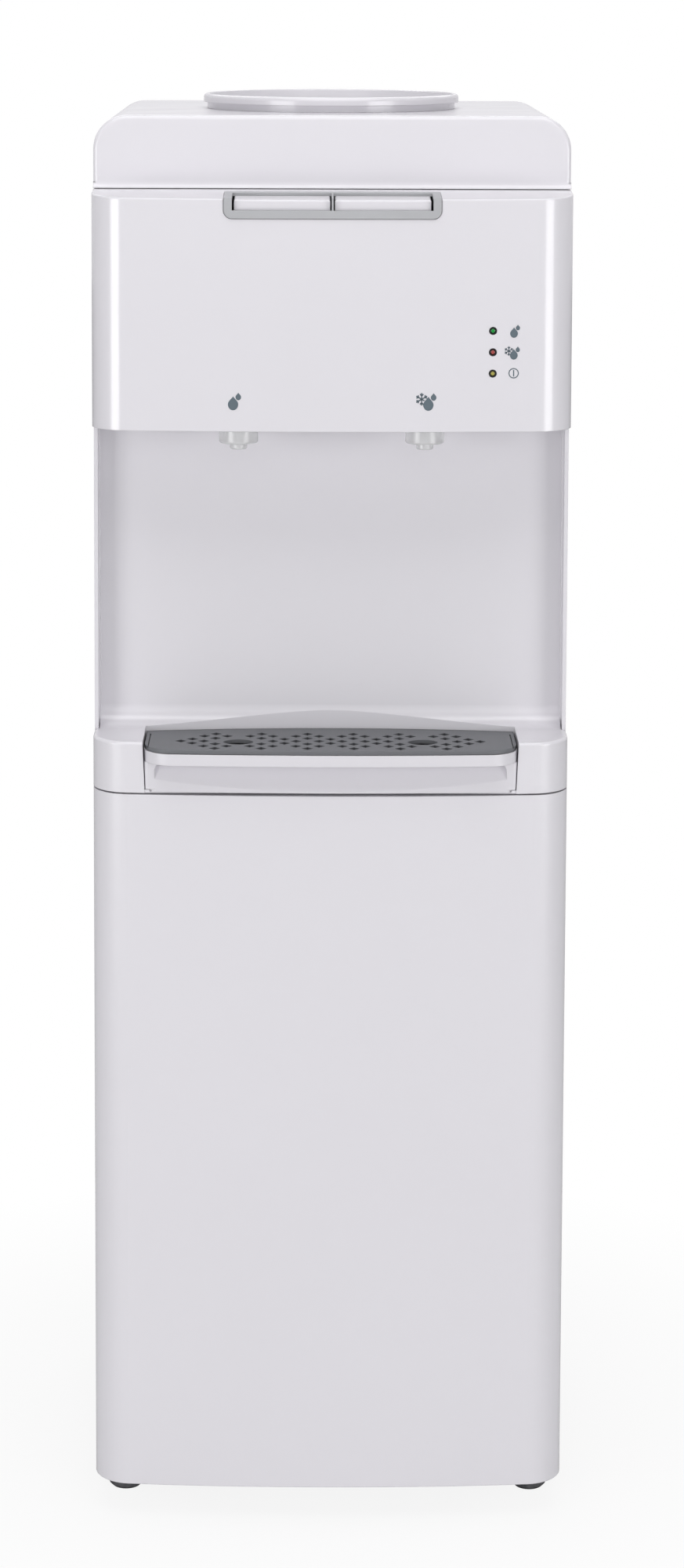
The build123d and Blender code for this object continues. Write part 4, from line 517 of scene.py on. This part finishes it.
copper, copper_shader = new_material("drawn_copper")
copper_node = place_effect(copper, drawn_grain, Colour=(0.72, 0.36, 0.22, 1), Gloss=0.34)
wire_surface(copper, copper_shader, copper_node, 0.1, 0.0001)
copper_tree = copper.node_tree
tarnish_mask = ramp_in(copper_tree, noise_in(copper_tree, 60.0, 6.0), 0.45, 0.7)
tarnish_brown = (0.25, 0.13, 0.08, 1)
tarnished = blend_in(copper_tree, tarnish_mask, copper_node.outputs["Colour"], tarnish_brown)
copper_tree.links.new(tarnished, copper_shader.inputs["Base Color"])
copper_shader.inputs["Metallic"].default_value = 1.0
dress(
    copper, "evaporator_coil", "discharge_pipe", "suction_pipe", "capillary_tube", "filter_drier"
)

enamel, enamel_shader = new_material("black_enamel")
enamel_node = place_effect(
    enamel, coat_skin, Colour=(0.018, 0.018, 0.02, 1), Mottle=0.2, Gloss=0.3, Edge=0.0006
)
wire_surface(enamel, enamel_shader, enamel_node, 0.2, 0.0003)
enamel_dust = place_effect(enamel, dust_layer, Amount=0.55)
enamel.node_tree.links.new(enamel_node.outputs["Colour"], enamel_dust.inputs["Colour"])
enamel.node_tree.links.new(enamel_dust.outputs["Colour"], enamel_shader.inputs["Base Color"])
dress(enamel, "compressor", "condenser_tube", "condenser_wires")

# ---------------------------------------------------------------- insulation
# Two half shells of expanded polystyrene round the tank. The moulded beads show as soft
# cells a few millimetres across.

foam, foam_shader = new_material("bead_foam")
foam_tree = foam.node_tree
beads = foam_tree.nodes.new("ShaderNodeTexVoronoi")
beads.inputs["Scale"].default_value = 280.0
foam_tree.links.new(object_place(foam_tree), beads.inputs["Vector"])
foam_white = (0.82, 0.82, 0.81, 1)
foam_tone = shade_in(foam_tree, foam_white, beads.outputs["Distance"], 1.0, 0.8)
foam_tree.links.new(foam_tone, foam_shader.inputs["Base Color"])
foam_bump = foam_tree.nodes.new("ShaderNodeBump")
foam_bump.inputs["Strength"].default_value = 0.5
foam_bump.inputs["Distance"].default_value = 0.0006
foam_bump.invert = True
foam_tree.links.new(beads.outputs["Distance"], foam_bump.inputs["Height"])
foam_tree.links.new(foam_bump.outputs["Normal"], foam_shader.inputs["Normal"])
foam_shader.inputs["Roughness"].default_value = 0.85
dress(foam, "insulation_front", "insulation_rear")

# ---------------------------------------------------------------- electric fittings
# The switch, gland, thermostat, lamp holders, starter box and condenser clips are black
# moulded plastic with the same fine grain as the grey trim.

black_trim, black_shader = new_material("grained_black")
black_node = place_effect(
    black_trim, grain_skin, Colour=(0.022, 0.022, 0.024, 1), Fineness=1800.0, Gloss=0.4
)
wire_surface(black_trim, black_shader, black_node, 0.25, 0.0001)
dress(
    black_trim,
    "starter_box",
    "lamp_holders",
    "condenser_clips",
    "switch_housing",
    "switch_rocker",
    "cord_gland",
    "thermostat",
)

board, board_shader = new_material("solder_mask")
board_tree = board.node_tree
tracks = board_tree.nodes.new("ShaderNodeTexBrick")
tracks.inputs["Scale"].default_value = 90.0
tracks.inputs["Color1"].default_value = (0.02, 0.16, 0.06, 1)
tracks.inputs["Color2"].default_value = (0.02, 0.13, 0.05, 1)
tracks.inputs["Mortar"].default_value = (0.05, 0.26, 0.10, 1)
board_turn = board_tree.nodes.new("ShaderNodeMapping")
board_turn.inputs["Rotation"].default_value = (pi / 2, 0, 0)
board_tree.links.new(object_place(board_tree), board_turn.inputs["Vector"])
board_tree.links.new(board_turn.outputs["Vector"], tracks.inputs["Vector"])
board_tree.links.new(tracks.outputs["Color"], board_shader.inputs["Base Color"])
board_shader.inputs["Roughness"].default_value = 0.3
dress(board, "lamp_board")

# ---------------------------------------------------------------- indicator lamps
# Three small lenses, green, red and yellow, sunk in black rings. They are unlit: the tint is
# darkened towards the rim as painted shade of the ring round it, and clears towards the middle.

lamps = {
    "led_green": ((0.0, 0.025, 0.004, 1), (0.0, 0.33, 0.04, 1)),
    "led_red": ((0.04, 0.004, 0.004, 1), (0.42, 0.07, 0.06, 1)),
    "led_yellow": ((0.05, 0.045, 0.004, 1), (0.45, 0.40, 0.08, 1)),
}
for lamp, (rim_shade_tint, core_tint) in lamps.items():
    low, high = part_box(lamp)
    middle = (low + high) / 2
    lens, lens_shader = new_material(lamp + "_lens")
    tree = lens.node_tree
    centred = tree.nodes.new("ShaderNodeMapping")
    centred.inputs["Location"].default_value = (-middle.x, 0, -middle.z)
    centred.inputs["Scale"].default_value = (1, 0, 1)
    tree.links.new(object_place(tree), centred.inputs["Vector"])
    from_axis = tree.nodes.new("ShaderNodeVectorMath")
    from_axis.operation = "LENGTH"
    tree.links.new(centred.outputs["Vector"], from_axis.inputs[0])
    lens_r = (high.x - low.x) / 2
    # Painted shade: the lens colour darkens from the middle out to the rim.
    rim_shade_share = ramp_in(tree, from_axis.outputs["Value"], 0.35 * lens_r, 0.85 * lens_r)
    lens_tint = blend_in(tree, rim_shade_share, core_tint, rim_shade_tint)
    tree.links.new(lens_tint, lens_shader.inputs["Base Color"])
    lens_shader.inputs["Roughness"].default_value = 0.08
    lens_shader.inputs["Coat Weight"].default_value = 1.0
    lens_shader.inputs["Coat Roughness"].default_value = 0.03
    dress(lens, lamp)

# ---------------------------------------------------------------- printed symbols
# Slate grey ink, pad printed on the control panel: a drop, a snowflake with a drop and a
# power ring beside the lamps, and again the drop and the snowflake above the taps.

ink, ink_shader = new_material("slate_ink")
ink_node = place_effect(
    ink, grain_skin, Colour=(0.105, 0.140, 0.165, 1), Fineness=6000.0, Gloss=0.5
)
wire_surface(ink, ink_shader, ink_node, 0.1, 0.00003)

panel_low, panel_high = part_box("control_panel")
half_width = (panel_high.x - panel_low.x) / 2
bow_depth = 0.030
bow_corner = 0.025
bow_flat = half_width - bow_corner
bow_radius = (bow_flat**2 + bow_depth**2 - bow_corner**2) / (2 * (bow_depth - bow_corner))
ink_thickness = 0.00012
ink_sunk = 0.00003


def face_lean(x):
    """How far the bowed panel turns away at x."""
    return asin(x / bow_radius)


def face_y(x):
    """Where the bowed panel's face is at x."""
    return panel_low.y + bow_radius * (1 - cos(face_lean(x)))


def draw_drop(x, z, radius, height):
    """A drop: a circle whose top point is pulled up to a tip."""
    bpy.ops.curve.primitive_bezier_circle_add(radius=radius, location=(x, z, 0))
    drop = bpy.context.object
    drop.data.dimensions = "2D"
    drop.data.fill_mode = "BOTH"
    points = drop.data.splines[0].bezier_points
    tip = max(points, key=lambda point: point.co.y)
    for point in points:
        chosen = point == tip
        point.select_control_point = chosen
        point.select_left_handle = chosen
        point.select_right_handle = chosen
    bpy.ops.object.mode_set(mode="EDIT")
    bpy.ops.curve.handle_type_set(type="VECTOR")
    bpy.ops.transform.translate(value=(0, height - 2 * radius, 0))
    bpy.ops.object.mode_set(mode="OBJECT")
    bpy.ops.object.convert(target="MESH")
    return bpy.context.object


def draw_bar(x, z, length, thickness, angle):
    """A straight bar centred on x, z, leaning by angle from upright."""
    bpy.ops.mesh.primitive_plane_add(size=1.0, location=(x, z, 0), rotation=(0, 0, -angle))
    bar = bpy.context.object
    bar.scale = (thickness, length, 1)
    return bar


def draw_snowflake(x, z, arm, thickness, short_arms):
    """Six arms with a chevron near each end; those that meet the drop are cut short."""
    strokes = []
    arms = 6
    chevron = 0.36 * arm
    chevron_root = 0.58 * arm
    chevron_lean = radians(50)
    for turn in range(arms):
        angle = turn * 2 * pi / arms
        reach = 0.5 * arm if turn in short_arms else arm
        along = (sin(angle), cos(angle))
        strokes.append(
            draw_bar(x + along[0] * reach / 2, z + along[1] * reach / 2, reach, thickness, angle)
        )
        if turn in short_arms:
            continue
        root = (x + along[0] * chevron_root, z + along[1] * chevron_root)
        for side in (-1, 1):
            lean = angle + side * chevron_lean
            middle = (root[0] + sin(lean) * chevron / 2, root[1] + cos(lean) * chevron / 2)
            strokes.append(draw_bar(*middle, chevron, thickness, lean))
    return strokes


def draw_ring(x, z, radius, thickness):
    """A flat ring: a disc inset once, with its middle taken out."""
    bpy.ops.mesh.primitive_circle_add(
        vertices=48, radius=radius, fill_type="NGON", location=(x, z, 0)
    )
    bpy.ops.object.mode_set(mode="EDIT")
    bpy.ops.mesh.select_all(action="SELECT")
    bpy.ops.mesh.inset(thickness=thickness)
    bpy.ops.mesh.delete(type="FACE")
    bpy.ops.object.mode_set(mode="OBJECT")
    return bpy.context.object


def lay_print(name, strokes, x, z):
    """Joins the strokes, gives the ink its thickness and lays it on the bowed panel."""
    bpy.ops.object.select_all(action="DESELECT")
    for stroke in strokes:
        stroke.select_set(True)
    bpy.context.view_layer.objects.active = strokes[0]
    bpy.ops.object.transform_apply(location=True, rotation=True, scale=True)
    bpy.ops.object.join()
    symbol = bpy.context.object
    symbol.name = name
    layer = symbol.modifiers.new("ink", "SOLIDIFY")
    layer.thickness = ink_thickness
    layer.offset = 0
    bpy.ops.object.modifier_apply(modifier=layer.name)
    out = ink_thickness / 2 - ink_sunk
    lean = face_lean(x)
    symbol.rotation_euler = (pi / 2, 0, lean)
    symbol.location = (x + out * sin(lean), face_y(x) - out * cos(lean), z)
    bpy.ops.object.transform_apply(location=True, rotation=True, scale=True)
    symbol.data.materials.clear()
    symbol.data.materials.append(ink)
    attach(symbol, "cabinet")


# The signs beside the lamps, about the large drop's round end. Those above the taps are the
# same, but larger.
drop_r, drop_h = 0.00244, 0.0067
droplet_x, droplet_z = 0.0025, 0.0037
droplet_r, droplet_h = 0.00132, 0.0036
flake_x, flake_z = -0.0032, 0.0031
flake_arm, flake_stroke = 0.0030, 0.00060
flake_short_arms = (2,)  # the one that runs into the drop


def print_drops(name, x, z, size, with_snowflake):
    """A large drop with a small one at its upper right, and a snowflake at its upper left."""
    strokes = [
        draw_drop(0, 0, drop_r * size, drop_h * size),
        draw_drop(droplet_x * size, droplet_z * size, droplet_r * size, droplet_h * size),
    ]
    if with_snowflake:
        strokes += draw_snowflake(
            flake_x * size,
            flake_z * size,
            flake_arm * size,
            flake_stroke * size,
            flake_short_arms,
        )
    lay_print(name, strokes, x, z)


lamp_low, lamp_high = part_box("led_green")
lamp_sign_x = (lamp_low.x + lamp_high.x) / 2 + 0.0134
lamp_sign_size = 1.0
print_drops("print_lamp_water", lamp_sign_x, 0.7880, lamp_sign_size, False)
print_drops("print_lamp_cold", lamp_sign_x, 0.7740, lamp_sign_size, True)
tap_sign_z = 0.7421
tap_sign_size = 1.34
print_drops("print_tap_water", -0.0632, tap_sign_z, tap_sign_size, False)
print_drops("print_tap_cold", 0.0616, tap_sign_z, tap_sign_size, True)
power_ring = draw_ring(0, 0, radius=0.0033, thickness=0.0006)
power_bar = draw_bar(0, 0, length=0.0041, thickness=0.0007, angle=0)
lay_print("print_lamp_power", [power_ring, power_bar], lamp_sign_x, 0.7628)

# ---------------------------------------------------------------- niche seals
# Two white extruded strips that close the joint between the niche wall and the side panels.
# They are pushed in behind the panels' folded front edges.

panel_sheet = 0.0012
folded_edge = 0.0026
shoulder_high = 0.522
niche_high = panel_low.z
niche_wall_y = -0.097
seal_showing = 0.0006  # inwards of the folded edge
seal_depth = 0.0036
seal_sunk = 0.0004
outer = half_width - panel_sheet
inner = half_width - folded_edge - seal_showing
for side in (-1, 1):
    bpy.ops.mesh.primitive_cube_add(
        size=1.0,
        location=(
            side * (outer + inner) / 2,
            niche_wall_y - seal_depth / 2 + seal_sunk,
            (shoulder_high + niche_high) / 2,
        ),
        scale=(outer - inner, seal_depth, niche_high - shoulder_high),
    )
    seal = bpy.context.object
    seal.name = "niche_seal_left" if side < 0 else "niche_seal_right"
    round_off = seal.modifiers.new("extruded_edge", "BEVEL")
    round_off.width = 0.0003
    round_off.segments = 2
    bpy.ops.object.modifier_apply(modifier=round_off.name)
    bpy.ops.object.transform_apply(location=True, rotation=True, scale=True)
    seal.data.materials.append(shell_white)
    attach(seal, "cabinet")

# ---------------------------------------------------------------- floor, light, camera
# A pale floor that fades into white, soft boxes on both sides, in front, behind and
# overhead, and a camera just above the top of the cabinet, as in a catalogue picture.


def mix_shader_in(tree, factor, first, second):
    """Two shaders mixed by factor."""
    node = tree.nodes.new("ShaderNodeMixShader")
    tree.links.new(factor, node.inputs[0])
    tree.links.new(first, node.inputs[1])
    tree.links.new(second, node.inputs[2])
    return node.outputs[0]


bpy.ops.object.select_all(action="DESELECT")
bpy.ops.mesh.primitive_circle_add(vertices=96, radius=9.0, fill_type="NGON", location=(0, 0, 0))
floor = bpy.context.object
floor.name = "studio_floor"
pale, pale_shader = new_material("pale_floor")
pale_shader.inputs["Base Color"].default_value = (0.7, 0.7, 0.7, 1)
pale_shader.inputs["Roughness"].default_value = 0.9
pale_tree = pale.node_tree
floor_far = pale_tree.nodes.new("ShaderNodeVectorMath")
floor_far.operation = "LENGTH"
pale_tree.links.new(object_place(pale_tree), floor_far.inputs[0])
floor_fade = ramp_in(pale_tree, floor_far.outputs["Value"], 0.15, 0.5, 0.88, 1.0)
floor_white = pale_tree.nodes.new("ShaderNodeEmission")
floor_white.inputs["Color"].default_value = (1, 1, 1, 1)
floor_path = pale_tree.nodes.new("ShaderNodeLightPath")
floor_seen = math_in(pale_tree, "MULTIPLY", floor_fade, floor_path.outputs["Is Camera Ray"])
floor_mix = mix_shader_in(pale_tree, floor_seen, pale_shader.outputs[0], floor_white.outputs[0])
pale_tree.links.new(floor_mix, pale_tree.nodes["Material Output"].inputs["Surface"])
floor.data.materials.append(pale)
floor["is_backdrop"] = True

world = bpy.data.worlds.new("studio")
bpy.context.scene.world = world
world.use_nodes = True
sky = world.node_tree
sky_light = sky.nodes["Background"]
sky_light.inputs["Color"].default_value = (0.97, 0.97, 1.0, 1)
sky_light.inputs["Strength"].default_value = 0.28
sky_seen = sky.nodes.new("ShaderNodeBackground")
sky_seen.inputs["Color"].default_value = (1, 1, 1, 1)
sky_mirror = sky.nodes.new("ShaderNodeBackground")
sky_mirror.inputs["Color"].default_value = (0.98, 0.97, 1.0, 1)
sky_mirror.inputs["Strength"].default_value = 0.78
sky_ray = sky.nodes.new("ShaderNodeLightPath").outputs
sky_through = math_in(sky, "MAXIMUM", sky_ray["Is Camera Ray"], sky_ray["Is Transmission Ray"])
sky_gloss = mix_shader_in(
    sky, sky_ray["Is Glossy Ray"], sky_light.outputs[0], sky_mirror.outputs[0]
)
sky_mix = mix_shader_in(sky, sky_through, sky_gloss, sky_seen.outputs[0])
sky.links.new(sky_mix, sky.nodes["World Output"].inputs["Surface"])


def soft_box(name, place, aim, width, height, power):
    """A rectangular area light at place, turned to aim."""
    bpy.ops.object.light_add(type="AREA", location=place)
    lamp = bpy.context.object
    lamp.name = name
    lamp.data.shape = "RECTANGLE"
    lamp.data.size = width
    lamp.data.size_y = height
    lamp.data.energy = power
    lamp.rotation_euler = (Vector(aim) - Vector(place)).to_track_quat("-Z", "Y").to_euler()


soft_box("left_box", (-1.9, -1.9, 0.6), (0, 0, 0.6), 1.1, 1.0, 21.5)
soft_box("right_box", (1.9, -1.9, 0.6), (0, 0, 0.6), 1.1, 1.0, 19.0)
soft_box("top_box", (0, -0.7, 2.6), (0, 0, 0.5), 2.2, 1.6, 27.0)
soft_box("back_box", (0, 2.2, 2.6), (0, 0, 0.5), 2.4, 1.6, 18.0)
soft_box("front_box", (0.2, -3.4, 1.6), (0, 0, 0.6), 2.6, 1.6, 10.0)

frame_h = 2000.0  # pixels
film_h = 36.0  # millimetres
camera_distance = 2.2  # from the line where the cabinet's straight sides end
camera_focal = 4370.2  # pixels
camera_x = -0.0166
camera_z = 1.0174
camera_pitch = 0.1062
camera_turn = 0.0027
camera_roll = 0.0031
side_front_y = panel_low.y + bow_depth
bpy.ops.object.camera_add(location=(camera_x, side_front_y - camera_distance, camera_z))
camera = bpy.context.object
camera.data.sensor_fit = "VERTICAL"
camera.data.sensor_height = film_h
camera.data.lens = camera_focal / frame_h * film_h
camera.data.shift_x = 0.0170
camera.data.shift_y = -0.285
turn = Matrix.Rotation(-camera_turn, 4, "Z") @ Matrix.Rotation(pi / 2 - camera_pitch, 4, "X")
camera.rotation_euler = (turn @ Matrix.Rotation(camera_roll, 4, "Z")).to_euler()
bpy.context.scene.camera = camera

bpy.context.scene.view_settings.view_transform = "Standard"

low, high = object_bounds()
